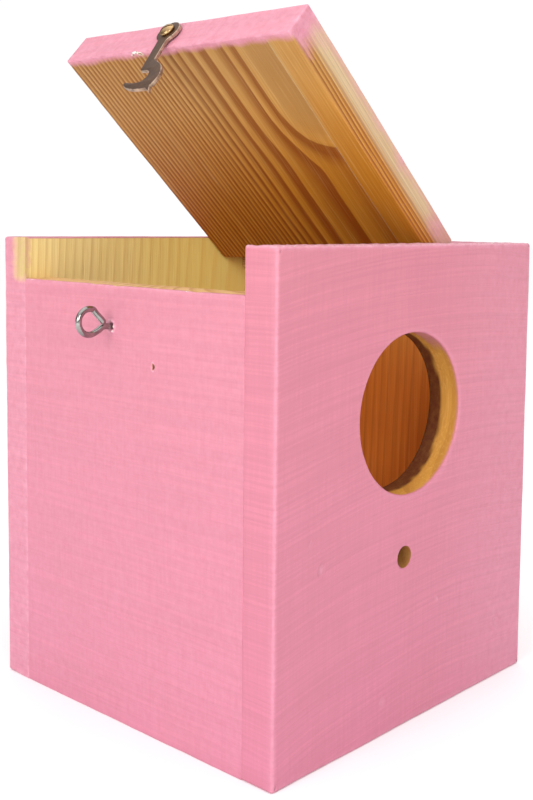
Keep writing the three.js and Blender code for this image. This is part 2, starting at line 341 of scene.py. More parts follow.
# ------------------------------------------------------------------------------------------------- materials
class Graph:
    """A short way to write a material's nodes."""

    def __init__(self, name):
        """Starts an empty material of the given name."""
        self.material = bpy.data.materials.new(name)
        self.material.use_nodes = True
        self.tree = self.material.node_tree
        self.tree.nodes.clear()

    def add(self, kind, output=0, settings=None, **inputs):
        """Adds a node, sets its options, links or sets its inputs, and returns one of its outputs. An input
        is named by its label in small letters with underscores, or by in0, in1 and so on for its number."""
        node = self.tree.nodes.new("ShaderNode" + kind)
        for key, value in (settings or {}).items():
            setattr(node, key, value)
        for key, value in inputs.items():
            if key.startswith("in") and key[2:].isdigit():
                socket = node.inputs[int(key[2:])]
            else:
                named = [one for one in node.inputs if one.name.lower().replace(" ", "_") == key]
                socket = next(one for one in named if one.enabled)
            if isinstance(value, bpy.types.NodeSocket):
                self.tree.links.new(value, socket)
            else:
                socket.default_value = value
        return node.outputs[output] if node.outputs else node

    def value(self, name):
        """A float attribute of the piece."""
        return self.add("Attribute", 2, {"attribute_name": name})

    def vector(self, name):
        """A vector attribute of the piece."""
        return self.add("Attribute", 1, {"attribute_name": name})

    def place(self):
        """Object coordinates."""
        return self.add("TexCoord", 3)

    def maths(self, operation, first, second=0.0, clamp=False):
        """One arithmetic step."""
        return self.add("Math", 0, {"operation": operation, "use_clamp": clamp}, in0=first, in1=second)

    def times(self, first, second, clamp=False):
        """One value times another."""
        return self.maths("MULTIPLY", first, second, clamp)

    def plus(self, first, second):
        """One value plus another."""
        return self.maths("ADD", first, second)

    def scaled(self, vector, scale, move=(0, 0, 0)):
        """A vector scaled on each axis, then moved."""
        return self.add("Mapping", 0, {"vector_type": "POINT"}, vector=vector, scale=scale, location=move)

    def noise(self, vector, scale, detail=3.0, roughness=0.5, distortion=0.0):
        """Noise from 0 to 1."""
        return self.add("TexNoise", vector=vector, scale=scale, detail=detail, roughness=roughness,
                        distortion=distortion)

    def span(self, value, low, high, new_low=0.0, new_high=1.0):
        """Maps low..high to new_low..new_high, held at both ends."""
        return self.add("MapRange", 0, {"clamp": True}, value=value, from_min=low, from_max=high,
                        to_min=new_low, to_max=new_high)

    def mix(self, factor, first, second, blend="MIX"):
        """Mixes two colours."""
        node = self.tree.nodes.new("ShaderNodeMix")
        node.data_type = "RGBA"
        node.blend_type = blend
        for socket, value in ((node.inputs[0], factor), (node.inputs[6], first), (node.inputs[7], second)):
            if isinstance(value, bpy.types.NodeSocket):
                self.tree.links.new(value, socket)
            elif socket == node.inputs[0]:
                socket.default_value = value
            else:
                socket.default_value = (*value, 1.0)
        return node.outputs[2]

    def ramp(self, value, stops):
        """A value ramp through (position, value) stops with smooth joins."""
        node = self.tree.nodes.new("ShaderNodeValToRGB")
        node.color_ramp.interpolation = "EASE"
        elements = node.color_ramp.elements
        while len(elements) < len(stops):
            elements.new(0.5)
        for element, (position, level) in zip(elements, stops):
            element.position = position
            element.color = (level, level, level, 1)
        self.tree.links.new(value, node.inputs[0])
        return node.outputs[0]

    def bump(self, height, distance_mm, strength=1.0, normal=None):
        """A bump of the given depth."""
        inputs = {"height": height, "distance": distance_mm * MM, "strength": strength}
        if normal is not None:
            inputs["normal"] = normal
        return self.add("Bump", **inputs)

    def finish(self, **inputs):
        """Ends the material in a Principled shader."""
        shader = self.add("BsdfPrincipled", **inputs)
        self.add("OutputMaterial", surface=shader)
        return self.material


def shade(value, factor):
    """A colour made lighter or darker."""
    return tuple(min(1.0, part * factor) for part in value[:3])


SAWN_WOOD = (0.64, 0.51, 0.32)
# dark brown of scorched wood, also used as painted shade inside the holes
BURNT_AND_SHADED_WOOD = (0.115, 0.026, 0.008)
PALE_FIBRE = (0.95, 0.74, 0.38)
PALE_CHIP, DARK_CHIP = (0.92, 0.84, 0.76), (0.34, 0.18, 0.12)


def painted_pine(name, early, late, warm_early, warm_late, late_strength=1.0, brush_scale=(16, 16, 760),
                 brush_depth=1.0, uneven_by=1.1, late_from=0.38):
    """Pine under brushed paint. The piece's attributes say where it is painted (paint), how far its paint is
    rubbed or chipped, and on some edges and a seam lightened as painted highlight (worn), which year's ring
    a point is in (ring), where it lies along, across and through the grain (grain), how far its colour has
    ripened, and on the hinge wall's inside deepened low down as painted shade (warm), or been sawn rough and
    pale (bleached), how far the cut surface is scorched, and inside the holes darkened as painted shade
    (burnt), and where it lies in the brush's strokes (brush)."""
    colours = bpy.context.scene.nest_box_colours
    g = Graph(name)
    grain, brush, place = g.vector("grain"), g.vector("brush"), g.place()
    ring, warm = g.value("ring"), g.value("warm")

    # bare wood: the fraction of the ring number is pale, then darkens to the latewood and starts again
    sway = g.noise(g.scaled(grain, (14, 120, 120)), 1.0, 2)
    fibre = g.noise(g.scaled(grain, (30, 1500, 1500)), 1.0, 4, 0.65)
    pores = g.noise(g.scaled(grain, (45, 1100, 1100), (3, 1, 2)), 1.0, 2, 0.7)
    broad = g.noise(g.scaled(grain, (12, 60, 60), (1, 7, 3)), 1.0, 3)
    uneven_years = g.noise(g.add("CombineXYZ", in0=ring), 0.55, 2, 0.6)
    sway = g.plus(g.times(sway, 0.3), g.times(uneven_years, uneven_by))
    year = g.maths("FRACT", g.plus(ring, sway))
    late_stops = [(0.0, 0.1), (0.08, 0.0), (late_from, 0.1), (late_from + 0.24, 0.5), (0.84, 1.0),
                  (0.95, 0.9), (1.0, 0.1)]
    late_part = g.ramp(year, late_stops)
    yearly = g.noise(g.add("CombineXYZ", in0=ring), 0.9, 2, 0.7)
    strength = g.span(yearly, 0.34, 0.66, 0.42 * late_strength, late_strength)
    late_part = g.times(late_part, strength, clamp=True)
    pale = g.mix(warm, early, warm_early)
    pale = g.mix(g.span(broad, 0.35, 0.7, 0.0, 0.5), pale, shade(warm_early, 0.9))
    dark = g.mix(warm, late, warm_late)
    wood = g.mix(late_part, pale, dark)
    wood = g.mix(g.span(fibre, 0.36, 0.7, 0.0, 0.3), wood, dark)
    wood = g.mix(g.span(fibre, 0.3, 0.46, 0.22, 0.0), wood, g.mix(0.5, pale, PALE_FIBRE))
    wood = g.mix(g.span(pores, 0.66, 0.76, 0.0, 0.4), wood, dark)
    sawn = g.times(g.value("bleached"), g.span(fibre, 0.3, 0.7, 0.95, 0.6))
    wood = g.mix(sawn, wood, SAWN_WOOD)
    # scorched wood, and painted shade inside the holes, go dark brown
    ashen = g.noise(g.scaled(place, (700, 700, 500)), 1.0, 4, 0.7)
    burnt = g.times(g.value("burnt"), g.span(ashen, 0.3, 0.62, 0.86, 1.0))
    wood = g.mix(burnt, wood, BURNT_AND_SHADED_WOOD)

    # paint: strokes along the brush, a faint weave across them, and slow changes of depth
    strokes = g.noise(g.scaled(brush, brush_scale), 1.0, 4, 0.62, 0.1)
    weave = g.noise(g.scaled(brush, (1050, 1050, 70), (5, 2, 9)), 1.0, 2)
    cloud = g.noise(place, 30, 3, 0.55)
    height_tint = g.span(g.add("SeparateXYZ", 2, in0=place), 0.0, 0.15)
    warm_pink = (colours.paint[0], colours.paint[1] * 1.03, colours.paint[2] * 0.965)
    cool_pink = (colours.paint[0], colours.paint[1] * 0.97, colours.paint[2] * 1.07)
    paint = g.mix(height_tint, cool_pink, warm_pink)
    paint = g.mix(g.span(cloud, 0.3, 0.7, 0.0, 0.5), paint, shade(colours.paint, 0.94))
    paint = g.mix(g.span(strokes, 0.36, 0.58, 0.5 * brush_depth, 0.0), paint, shade(colours.paint, 0.8))
    paint = g.mix(g.span(strokes, 0.53, 0.68, 0.0, 0.3 * brush_depth), paint, shade(colours.paint, 1.16))
    paint = g.mix(g.span(weave, 0.36, 0.64, 0.24, 0.0), paint, shade(colours.paint, 0.84))
    # pale paint: rubbed paint, and along some edges and a seam a painted highlight
    pale_paint = tuple(min(1, part * lift) for part, lift in zip(colours.paint, (1.3, 2.0, 1.85)))
    thin = g.noise(place, 380, 4, 0.65)
    worn = g.value("worn")
    rubbed = g.times(g.span(worn, 0.0, 0.9), g.span(thin, 0.3, 0.7, 0.2, 1.0))
    paint = g.mix(rubbed, paint, pale_paint)
    speckle = g.noise(place, 1300, 3, 0.7)
    chipped = g.span(g.plus(worn, g.times(speckle, 0.7)), 1.1, 1.16)
    chip_colour = g.mix(g.span(g.noise(place, 1900, 2), 0.47, 0.56), PALE_CHIP, DARK_CHIP)
    paint = g.mix(chipped, paint, chip_colour)

    # where the paint ends: soft overspray over the grain, broken by noise
    spray = g.noise(g.scaled(grain, (500, 900, 900)), 1.0, 5, 0.7)
    broken = g.plus(g.value("paint"), g.times(g.maths("SUBTRACT", spray, 0.5), 0.6))
    covered = g.span(broken, 0.16, 0.84)
    base = g.mix(covered, wood, paint)

    ridges = g.plus(g.times(late_part, 0.4), g.times(fibre, 0.8))
    ridges = g.maths("SUBTRACT", ridges, g.times(g.span(pores, 0.6, 0.8), 0.5))
    brushed = g.plus(g.times(strokes, 1.5), g.times(weave, 0.7))
    height = g.mix(covered, ridges, brushed)
    height = g.mix(chipped, height, g.noise(place, 1400, 2))
    gloss = g.mix(covered, g.span(fibre, 0.2, 0.8, 0.5, 0.7), g.span(strokes, 0.3, 0.7, 0.46, 0.6))
    return g.finish(base_color=base, roughness=gloss, normal=g.bump(height, 0.16, 0.8),
                    specular_ior_level=0.22)


def rubbed_and_highlit_metal(name, dark, bright, rough=(0.28, 0.5), wear_scale=600, metallic=1.0):
    """Metal whose finish is rubbed bright where the piece's worn attribute says, on the hook's edges also a
    painted highlight, with fine scratches.
    """
    g = Graph(name)
    place = g.place()
    blotch = g.noise(place, wear_scale, 4, 0.65)
    fine = g.noise(place, 2700, 3, 0.6)
    worn = g.span(g.plus(g.value("worn"), g.times(blotch, 0.6)), 0.75, 1.05)
    base = g.mix(g.span(blotch, 0.3, 0.7), shade(dark, 0.8), shade(dark, 1.35))
    base = g.mix(worn, base, bright)
    gloss = g.span(fine, 0.25, 0.75, *rough)
    return g.finish(base_color=base, metallic=metallic, roughness=gloss, normal=g.bump(fine, 0.03, 0.5))


# ---------------------------------------------------------------------------------------------------- boards
def board_values(piece, points, grain, years, paint, worn=0.0, burnt=0.0, warm=0.5, brush=None, bleached=0.0):
    """Stores what the painted pine reads. Distances along, across and through the grain, and places in the
    brush's strokes, are kept in metres."""
    store(
        piece,
        grain=np.stack(grain, 1) * MM,
        ring=years,
        paint=paint,
        worn=worn,
        burnt=burnt,
        warm=np.clip(warm, 0, 1),
        bleached=bleached,
        brush=(points if brush is None else brush) * MM,
    )


def ring_number(along, across, through, heart, lift, slope, spread, seed):
    """The year of each point in a plank sawn from a slightly tapered log: the squared distance from the
    heart, (across - heart)^2 + (lift + slope * along + through)^2, over a spread, plus a slow wander."""
    distance = (across - heart) ** 2 + (lift + slope * along + through) ** 2
    wander = ripple(np.stack([along * 0.25, across, through], 1), 55, seed)
    return distance / spread + 0.22 * wander


def edge_wear(points, low, high, reach=1.6):
    """1 on a block's edges, falling to 0 at the reach: the second smallest distance to a face sets it."""
    gaps = np.sort(np.minimum(points - low, high - points), axis=1)
    return 1 - fade(np.hypot(gaps[:, 0], gaps[:, 1]), 0.0, reach)


def off_the_rim(points, low, high):
    """0 on a board's four edge faces, 1 just inside them."""
    gap = np.minimum(points - low, high - points)
    return fade(np.minimum(gap[:, 0], gap[:, 2]), 0.05, 0.7)


def arris_wear_and_highlight(points, low):
    """Broken pale patches along the upright edge nearest the latch wall: rubbed paint, and painted highlight
    on that edge.
    """
    reach = 1 - fade(np.hypot(points[:, 0] - low[0], points[:, 1] - low[1]), 0.1, 1.2)
    return reach * fade(ripple(points * np.array([0.2, 0.2, 1]), 8.0, 7), 0.1, 1.1)


def uneven(points, faces, seed, amount):
    """Moves points along their normals by two sizes of ripple, as hand-sanded and brushed surfaces do."""
    shift = 0.7 * ripple(points, 34, seed) + 0.3 * ripple(points, 7, seed + 1)
    return points + vertex_normals(points, faces) * (amount * shift)[:, None]


def dent(points, centre, radius, depth, axis):
    """How far points sink at a small pit: depth * (1 - d^2/r^2)^2 inside, with a low rim round it."""
    others = [one for one in range(3) if one != axis]
    away = np.linalg.norm(points[:, others] - np.asarray(centre, float)[others], axis=1) / radius
    near = np.abs(points[:, axis] - centre[axis]) < 1.5
    pit = np.where(away < 1, (1 - away**2) ** 2, 0) * depth
    rim = np.exp(-((away - 1.25) ** 2) / 0.08) * depth * 0.3
    return np.where(near, pit - rim, 0)


def make_block_board(low, high, radius, axes, rings, seed, extra=((), (), ()), round_by=None):
    """A rounded, slightly uneven board. axes gives which of x, y and z runs along, across and through the
    grain. Returns the surface, the points before they were rounded, and their distances and years."""
    sizes = bpy.context.scene.nest_box_sizes
    step = sizes.mesh_step / MM
    lines = [grid_lines(low[i], high[i], radius, step, extra[i]) for i in range(3)]
    points, faces = block_surface(lines)
    flat = points.copy()
    points = round_edges(points, low, high, radius if round_by is None else round_by(points))
    points = uneven(points, faces, seed, sizes.unevenness / MM)
    along, across, through = (flat[:, axis] for axis in axes)
    years = ring_number(along, across, through, **rings, seed=seed)
    return points, faces, flat, (along, across, through), years


def rounded_rectangle(low, high, corner, step):
    """Points round a rounded rectangle in x and z, anticlockwise seen from -Y, as the centre of each point's
    corner or its foot on the core rectangle, and its outward direction."""
    core_low, core_high = low + corner, high - corner
    feet, ways = [], []
    corners = [(core_high[0], core_low[1], -90), (core_high[0], core_high[1], 0),
               (core_low[0], core_high[1], 90), (core_low[0], core_low[1], 180)]
    for number, (x, z, start) in enumerate(corners):
        angles = np.radians(np.linspace(start, start + 90, 6))
        feet.append(np.tile([x, z], (6, 1)))
        ways.append(np.stack([np.cos(angles), np.sin(angles)], 1))
        next_x, next_z, _ = corners[(number + 1) % 4]
        reach = math.hypot(next_x - x, next_z - z)
        t = np.linspace(0, 1, max(3, int(reach / step)))[1:-1, None]
        feet.append(np.array([x, z]) * (1 - t) + np.array([next_x, next_z]) * t)
        ways.append(np.tile(ways[-1][-1], (len(t), 1)))
    return np.concatenate(feet), np.concatenate(ways)


def pierced_board(low, high, hole, edge, seam, lip, step):
    """A board with a round hole as one grid wrapped into a ring. Round the hole run lines at the angles of
    the outline's points; across them the grid follows the bore, its rounded front lip, the front face in
    straight lines out to the outline, the rounded front edge, the side, the seam edge, and the back face in
    again."""
    x, z, radius = hole
    front, back = low[1], high[1]
    feet, ways = rounded_rectangle(low[[0, 2]], high[[0, 2]], edge, step)
    outline = feet + ways * edge
    angles = np.arctan2(outline[:, 1] - z, outline[:, 0] - x)
    spokes = np.stack([np.cos(angles), np.sin(angles)], 1)
    centre = np.array([x, z])

    def level(flat, y):
        """The points (x, z) placed at one y."""
        return np.stack([flat[:, 0], np.full(len(flat), y), flat[:, 1]], 1)

    rows = []
    # the bore, from the back face forwards
    for t in np.linspace(0, 1, 12)[:-1]:
        rows.append(level(centre + spokes * radius, back - 0.2 - (back - front - 0.2 - lip) * t))
    # its rounded front lip
    for a in np.radians([0, 22, 45, 68, 90]):
        rows.append(level(centre + spokes * (radius + lip * (1 - math.cos(a))),
                          front + lip * (1 - math.sin(a))))
    # the front face
    rim = centre + spokes * (radius + lip)
    border = feet
    for t in np.linspace(0, 1, 52)[1:]:
        rows.append(level(rim * (1 - t) + border * t, front))
    # the rounded front edge
    for a in np.radians([22, 45, 68, 90]):
        rows.append(level(feet + ways * edge * math.sin(a), front + edge * (1 - math.cos(a))))
    # the side
    for t in np.linspace(0, 1, 8)[1:]:
        rows.append(level(outline, front + edge + (back - seam - front - edge) * t))
    # the seam edge at the back
    for a in np.radians([30, 60, 90]):
        rows.append(level(feet + ways * (edge - seam * (1 - math.cos(a))), back - seam * (1 - math.sin(a))))
    # the back face, in to the hole
    inner = feet + ways * (edge - seam)
    for t in np.linspace(0, 1, 30)[1:-1]:
        rows.append(level(inner * (1 - t) + (centre + spokes * (radius + 0.2)) * t, back))
    rows.append(level(centre + spokes * (radius + 0.2), back))

    rings = np.array(rows)
    count, around = rings.shape[:2]
    numbers = np.arange(count * around).reshape(count, around)
    up, right = np.roll(numbers, -1, axis=0), np.roll(numbers, -1, axis=1)
    both = np.roll(up, -1, axis=1)
    return rings.reshape(-1, 3), np.stack([numbers, right, both, up], -1).reshape(-1, 4)


def rod_cutter(x, z, radius, front, back, flare, sides=48):
    """A straight round cutter along Y that widens at the front face, to leave a softened rim."""
    t = np.arange(sides) * 2 * np.pi / sides
    stations = [(radius + flare, front - 2), (radius + flare, front - 0.01),
                (radius + flare * 0.35, front + flare * 0.4), (radius, front + flare), (radius, back + 2)]
    rings = np.array([
        np.stack([x + r * np.cos(t), np.full(sides, y), z + r * np.sin(t)], 1) for r, y in stations
    ])[::-1]
    return close_rings(rings, [[x, back + 2, z]], [[x, front - 2, z]])


# x, z and radius of the two holes, and (x, z), radius and depth of the nicks in the front board
ENTRANCE = (-2.8, 98.4, 25.0)
PERCH_HOLE = (-5.6, 54.0, 3.4)
FRONT_MARKS = [((-44.4, 58.8), 1.5, 0.35), ((48.0, 19.7), 2.1, 0.45), ((-15.3, 10.8), 1.6, 0.4),
               ((-49.0, 67.0), 0.9, 0.2), ((12.0, 36.0), 0.8, 0.15)]


class NESTBOX_OT_front_board(bpy.types.Operator):
    """Make the front board with its entrance hole and perch hole"""

    bl_idname = "nestbox.front_board"
    bl_label = "Front board"

    def execute(self, context):
        sizes = context.scene.nest_box_sizes
        low, high = FRONT_LOW, FRONT_HIGH
        edge, seam, lip = sizes.edge_round / MM, sizes.seam_round / MM, sizes.hole_lip / MM
        points, faces = pierced_board(low, high, ENTRANCE, edge, seam, lip, step=1.25)
        points = uneven(points, faces, 11, sizes.unevenness / MM)
        # nicks, a rough sawn top, and blobs of paint down the edge nearest the latch wall
        for (x, z), radius, depth in FRONT_MARKS:
            points[:, 1] += dent(points, (x, low[1], z), radius, 2.2 * depth, 1)
        rough = np.clip(ripple(points, 3.4, 5), -1.5, 1)
        rough_top = fade(points[:, 2], high[2] - 0.6, high[2] - 0.1) * rough
        points[:, 2] += 0.2 * rough_top
        arris = 1 - fade(np.hypot(points[:, 0] - low[0], points[:, 1] - low[1]), 0.2, 1.6)
        blobs = np.maximum(ripple(points * np.array([0.2, 0.2, 1]), 6.0, 6) - 0.5, 0)
        points[:, :2] -= 0.16 * (arris * blobs)[:, None]
        piece = make_mesh("front_board_finished", points, faces)
        cut(piece, [rod_cutter(*PERCH_HOLE, low[1], high[1], flare=0.12)])
        points = mesh_points(piece)
        # the grain runs upright
        grain = (points[:, 2], points[:, 0], points[:, 1] - low[1])
        years = ring_number(*grain, heart=20, lift=14, slope=0.05, spread=420, seed=3)
        depth = points[:, 1] - low[1]
        # painted outside; inside, only along the latch wall
        inside = fade(points[:, 1], high[1] - 1.4, high[1] - 0.1) * off_the_rim(points, low, high)
        side_margin = fade(-points[:, 0], HALF_WIDTH - 9, HALF_WIDTH - 4)
        paint = 1 - inside * (1 - 0.8 * side_margin)
        # both bores are bare, but for overspray at the front of the entrance's upper part
        away = np.hypot(points[:, 0] - ENTRANCE[0], points[:, 2] - ENTRANCE[1])
        bore = fade(-away, -ENTRANCE[2] - 0.75, -ENTRANCE[2] - 0.1)
        upper = fade(points[:, 2], ENTRANCE[1] + 15, ENTRANCE[1] + 23) * (1 - fade(depth, 4.5, 7))
        paint = np.minimum(paint, 1 - bore * fade(depth, 0.1, 1.3) * (1 - 0.62 * upper))
        perch_away = np.hypot(points[:, 0] - PERCH_HOLE[0], points[:, 2] - PERCH_HOLE[1])
        perch_bore = np.where(perch_away < PERCH_HOLE[2] + 0.2, fade(depth, 0.0, 0.08), 0)
        paint = np.minimum(paint, 1 - 0.9 * perch_bore)
        # the deeper part of the entrance is scorched, its dark band widened as painted shade inside the bore,
        # and the perch hole is darkened throughout as painted shade
        high_up = fade(points[:, 2], ENTRANCE[1] - 18, ENTRANCE[1] + 16)
        scorch_and_shade = bore * fade(depth + 0.2 * ripple(points, 7, 12), 6.3 + 1.3 * high_up, 6.9 + 1.3 * high_up)
        # dark brown: scorch, and painted shade deep in the entrance and all through the perch hole
        burnt = np.maximum(scorch_and_shade, np.maximum(perch_bore * 0.6, 0.35 * upper * bore))
        # paint is rubbed towards one side, on the edges, round the entrance, on top and at the nicks; the
        # pale outer edges are also painted highlight
        outwards = fade(-points[:, 1], -low[1] - 4, -low[1])
        worn = 0.2 * fade(points[:, 0], 0, 60) + 0.35 * edge_wear(points, low, high) * outwards
        worn += 0.12 * fade(-away, -ENTRANCE[2] - 1.6, -ENTRANCE[2] - 0.7) * (1 - bore)
        top_edge = fade(points[:, 2], high[2] - 0.75, high[2] - 0.1)
        worn = np.maximum(worn, top_edge * 0.72)
        # broken pale patches down the edge nearest the latch wall: rubbed paint and painted highlight
        worn = np.maximum(worn, arris_wear_and_highlight(points, low) * 0.3)
        for (x, z), radius, _ in FRONT_MARKS:
            spot = np.hypot(points[:, 0] - x, points[:, 2] - z)
            worn = np.maximum(worn, 0.55 * (1 - fade(spot, 0.2 * radius, 1.2 * radius)) * (depth < 1))
        # the strokes run level and bow a little
        brush = points.copy()
        brush[:, 2] += 0.0013 * (points[:, 0] - 22) ** 2 + 0.5 * ripple(points, 60, 13)
        warm = np.maximum(bore * 0.7, 0.75 * inside)
        board_values(piece, points, grain, years, paint, worn, burnt, warm, brush)
        material = painted_pine(
            "painted_pine_front",
            early=(0.74, 0.42, 0.12), late=(0.5, 0.22, 0.05),
            warm_early=(0.68, 0.32, 0.048), warm_late=(0.40, 0.15, 0.022),
            late_strength=0.7, brush_scale=(14, 14, 1000), brush_depth=0.75,
        )
        settle(piece, "box", "pink_paint", material, "front_board")
        return {"FINISHED"}


class NESTBOX_OT_back_board(bpy.types.Operator):
    """Make the back board, bare inside with overspray along its margin"""

    bl_idname = "nestbox.back_board"
    bl_label = "Back board"

    def execute(self, context):
        sizes = context.scene.nest_box_sizes
        low, high = BACK_LOW, BACK_HIGH
        edge, seam = sizes.edge_round / MM, sizes.seam_round / MM

        def radius_by(points):
            """Tight at the seams with the walls, growing to the full rounding at the outer face."""
            return seam + (edge - seam) * fade(points[:, 1], low[1], high[1] - edge)

        points, faces, flat, grain, years = make_block_board(
            low, high, edge, (2, 0, 1), dict(heart=62, lift=16, slope=0.08, spread=640), seed=21,
            round_by=radius_by,
        )
        piece = make_mesh("back_board_finished", points, faces)
        # bare inside, with overspray along the latch wall
        inside = (1 - fade(flat[:, 1], low[1] + 0.05, low[1] + 1.2)) * off_the_rim(flat, low, high)
        margin = 0.8 * fade(-flat[:, 0] + 0.5 * ripple(flat, 9, 22), HALF_WIDTH - 4, HALF_WIDTH + 1)
        paint = 1 - inside * (1 - margin)
        # almost no paint on the edge face above the latch wall
        latch_top = span("latch_wall")[1][2]
        edge_face = 1 - fade(flat[:, 0], low[0] + 0.2, low[0] + 1.5)
        near_top = fade(flat[:, 2], latch_top - 3, latch_top + 1.5)
        thin = near_top * (1 - fade(flat[:, 1], low[1] + 2.5, low[1] + 10))
        paint = paint * (1 - 0.8 * thin * edge_face)
        worn = 0.3 + 0.2 * edge_wear(flat, low, high)
        warm = fade(flat[:, 0], -50, 20)
        board_values(piece, points, grain, years, paint, worn, 0.4 * thin * edge_face, warm)
        material = painted_pine(
            "painted_pine_back",
            early=(0.93, 0.75, 0.35), late=(0.62, 0.41, 0.14),
            warm_early=(1.0, 0.82, 0.25), warm_late=(0.86, 0.55, 0.11),
            late_strength=0.6,
        )
        settle(piece, "box", "pink_paint", material, "back_board")
        return {"FINISHED"}


TUCK = 0.02  # how far a wall or the strip reaches into its neighbours, so that no gap shows
CHIP = (-13.3, 113.3)  # y and z of a small chip in the latch wall's paint
EYE_Y = sum(corner[1] for corner in span("screw_eye")) / 2
EYE_SHANK_Z = 123.9
EYE_LOOP_OUT = 7.95  # from the wall to the middle of the eye's loop
EYE_LOOP_UP = 1.8  # from the shank to the middle of the eye's loop


class NESTBOX_OT_walls(bpy.types.Operator):
    """Make the latch wall and the hinge wall"""

    bl_idname = "nestbox.walls"
    bl_label = "Side walls"

    def execute(self, context):
        self.latch_wall(context.scene.nest_box_sizes)
        self.hinge_wall(context.scene.nest_box_sizes)
        return {"FINISHED"}

    def latch_wall(self, sizes):
        """A block whose top is sanded round, with a small crater of lifted paint about the eye and a chip."""
        low, high = span("latch_wall")
        low[1], high[1] = -INNER - TUCK, INNER + TUCK
        seam, top_round = sizes.seam_round / MM, 0.55
        fine = np.arange(-4.5, 4.6, 0.3)
        lines_y = np.append(EYE_Y + fine, CHIP[0] + 0.6 * fine)
        lines_z = np.append(EYE_SHANK_Z + fine, CHIP[1] + 0.8 * fine)

        def radius_by(points):
            """Tight at the seams, growing to the sanded top edge."""
            return seam + (top_round - seam) * fade(points[:, 2], high[2] - 5, high[2] - 1)

        points, faces, flat, grain, years = make_block_board(
            low, high, top_round, (2, 1, 0), dict(heart=-60, lift=15, slope=0.04, spread=520), seed=31,
            extra=((), lines_y, lines_z), round_by=radius_by,
        )
        # a crater with a lumpy rim round the eye, and a pit at the chip
        outer = np.abs(flat[:, 0] - low[0]) < 0.01
        away = np.hypot(flat[:, 1] - EYE_Y, flat[:, 2] - EYE_SHANK_Z)
        crater = np.where(outer & (away < 3.2), 1, 0)
        lump = ripple(flat, 1.6, 77)
        rim = np.exp(-((away - 1.9) ** 2) / 0.16) * (0.8 + 0.5 * lump)
        points[:, 0] += crater * (0.5 * (1 - fade(away, 0.9, 1.7)) - 0.42 * rim)
        pit = dent(flat, (low[0], *CHIP), 1.1, 0.5, 0)
        points[:, 0] += pit
        piece = make_mesh("latch_wall_finished", points, faces)
        # bare inside and on top, where the paint only laps over the outer edge
        inside = fade(flat[:, 0], high[0] - 1.0, high[0] - 0.05)
        top = fade(flat[:, 2], high[2] - 0.3, high[2] - 0.02)
        kept = 1 - fade(flat[:, 0] + 0.5 * ripple(flat, 8, 33), low[0] + 0.3, low[0] + 1.3)
        paint = (1 - inside) * (1 - top * (1 - kept))
        # paint is rubbed at the upper edges and round the crater and the chip; the faint pale line along the
        # back seam is a painted highlight
        worn = 0.14 + 0.25 * edge_wear(flat, low, high, 1.1) * fade(flat[:, 2], high[2] - 4, high[2] - 1)
        broken = fade(ripple(flat, 11, 34), 0.3, 1.0)
        fray = edge_wear(flat, low, high, 0.9) * broken * fade(flat[:, 2], high[2] - 1.2, high[2])
        worn = np.maximum(worn, 0.85 * fray)
        ring_chip = np.exp(-((away - 1.75) ** 2) / 0.35) * outer
        worn = np.maximum(worn, ring_chip * (0.7 + 0.3 * lump))
        chip = np.hypot((flat[:, 1] - CHIP[0]) / 0.75, (flat[:, 2] - CHIP[1]) / 1.35)
        worn = np.maximum(worn, 0.7 * np.exp(-((chip - 1.0) ** 2) / 0.04) * outer)
        bare = (1 - fade(chip, 0.5, 0.95)) * outer
        paint = paint * (1 - bare)
        # a faint pale line down the back seam: painted highlight
        seam_line = np.exp(-((flat[:, 1] - INNER) ** 2) / 0.3) * outer * 0.16
        worn = np.maximum(worn, seam_line)
        board_values(piece, points, grain, years, paint, worn, bare, 0.3)
        material = painted_pine(
            "painted_pine_latch",
            early=(0.86, 0.62, 0.34), late=(0.55, 0.28, 0.1),
            warm_early=(0.80, 0.46, 0.16), warm_late=(0.44, 0.18, 0.04),
            late_strength=1.0, brush_scale=(16, 16, 760), brush_depth=0.7,
        )
        settle(piece, "box", "pink_paint", material, "latch_wall")

    def hinge_wall(self, sizes):
        """A plain block, painted outside; inside, a saturated orange going redder and darker low down, as
        painted shade.
        """
        low, high = span("hinge_wall")
        low[1], high[1], high[2] = -INNER - TUCK, INNER + TUCK, TOP - BOARD + TUCK
        seam = sizes.seam_round / MM
        points, faces, flat, grain, years = make_block_board(
            low, high, seam, (2, 1, 0), dict(heart=-95, lift=25, slope=0.05, spread=620), seed=41
        )
        piece = make_mesh("hinge_wall_finished", points, faces)
        paint = fade(flat[:, 0], low[0] + 0.05, low[0] + 1.0)
        # redder and darker low down inside: painted shade of the closed box
        warm = 1 - 0.8 * fade(flat[:, 2], 95, 135)
        board_values(piece, points, grain, years, paint, 0.15 * edge_wear(flat, low, high), 0, warm)
        # the bare inside's saturated orange stands for painted shade and orange light bounced inside the box
        material = painted_pine(
            "painted_pine_hinge",
            early=(0.98, 0.48, 0.10), late=(0.66, 0.22, 0.04),
            warm_early=(0.98, 0.30, 0.045), warm_late=(0.62, 0.15, 0.02),
            late_strength=0.6,
        )
        settle(piece, "box", "pink_paint", material, "hinge_wall")


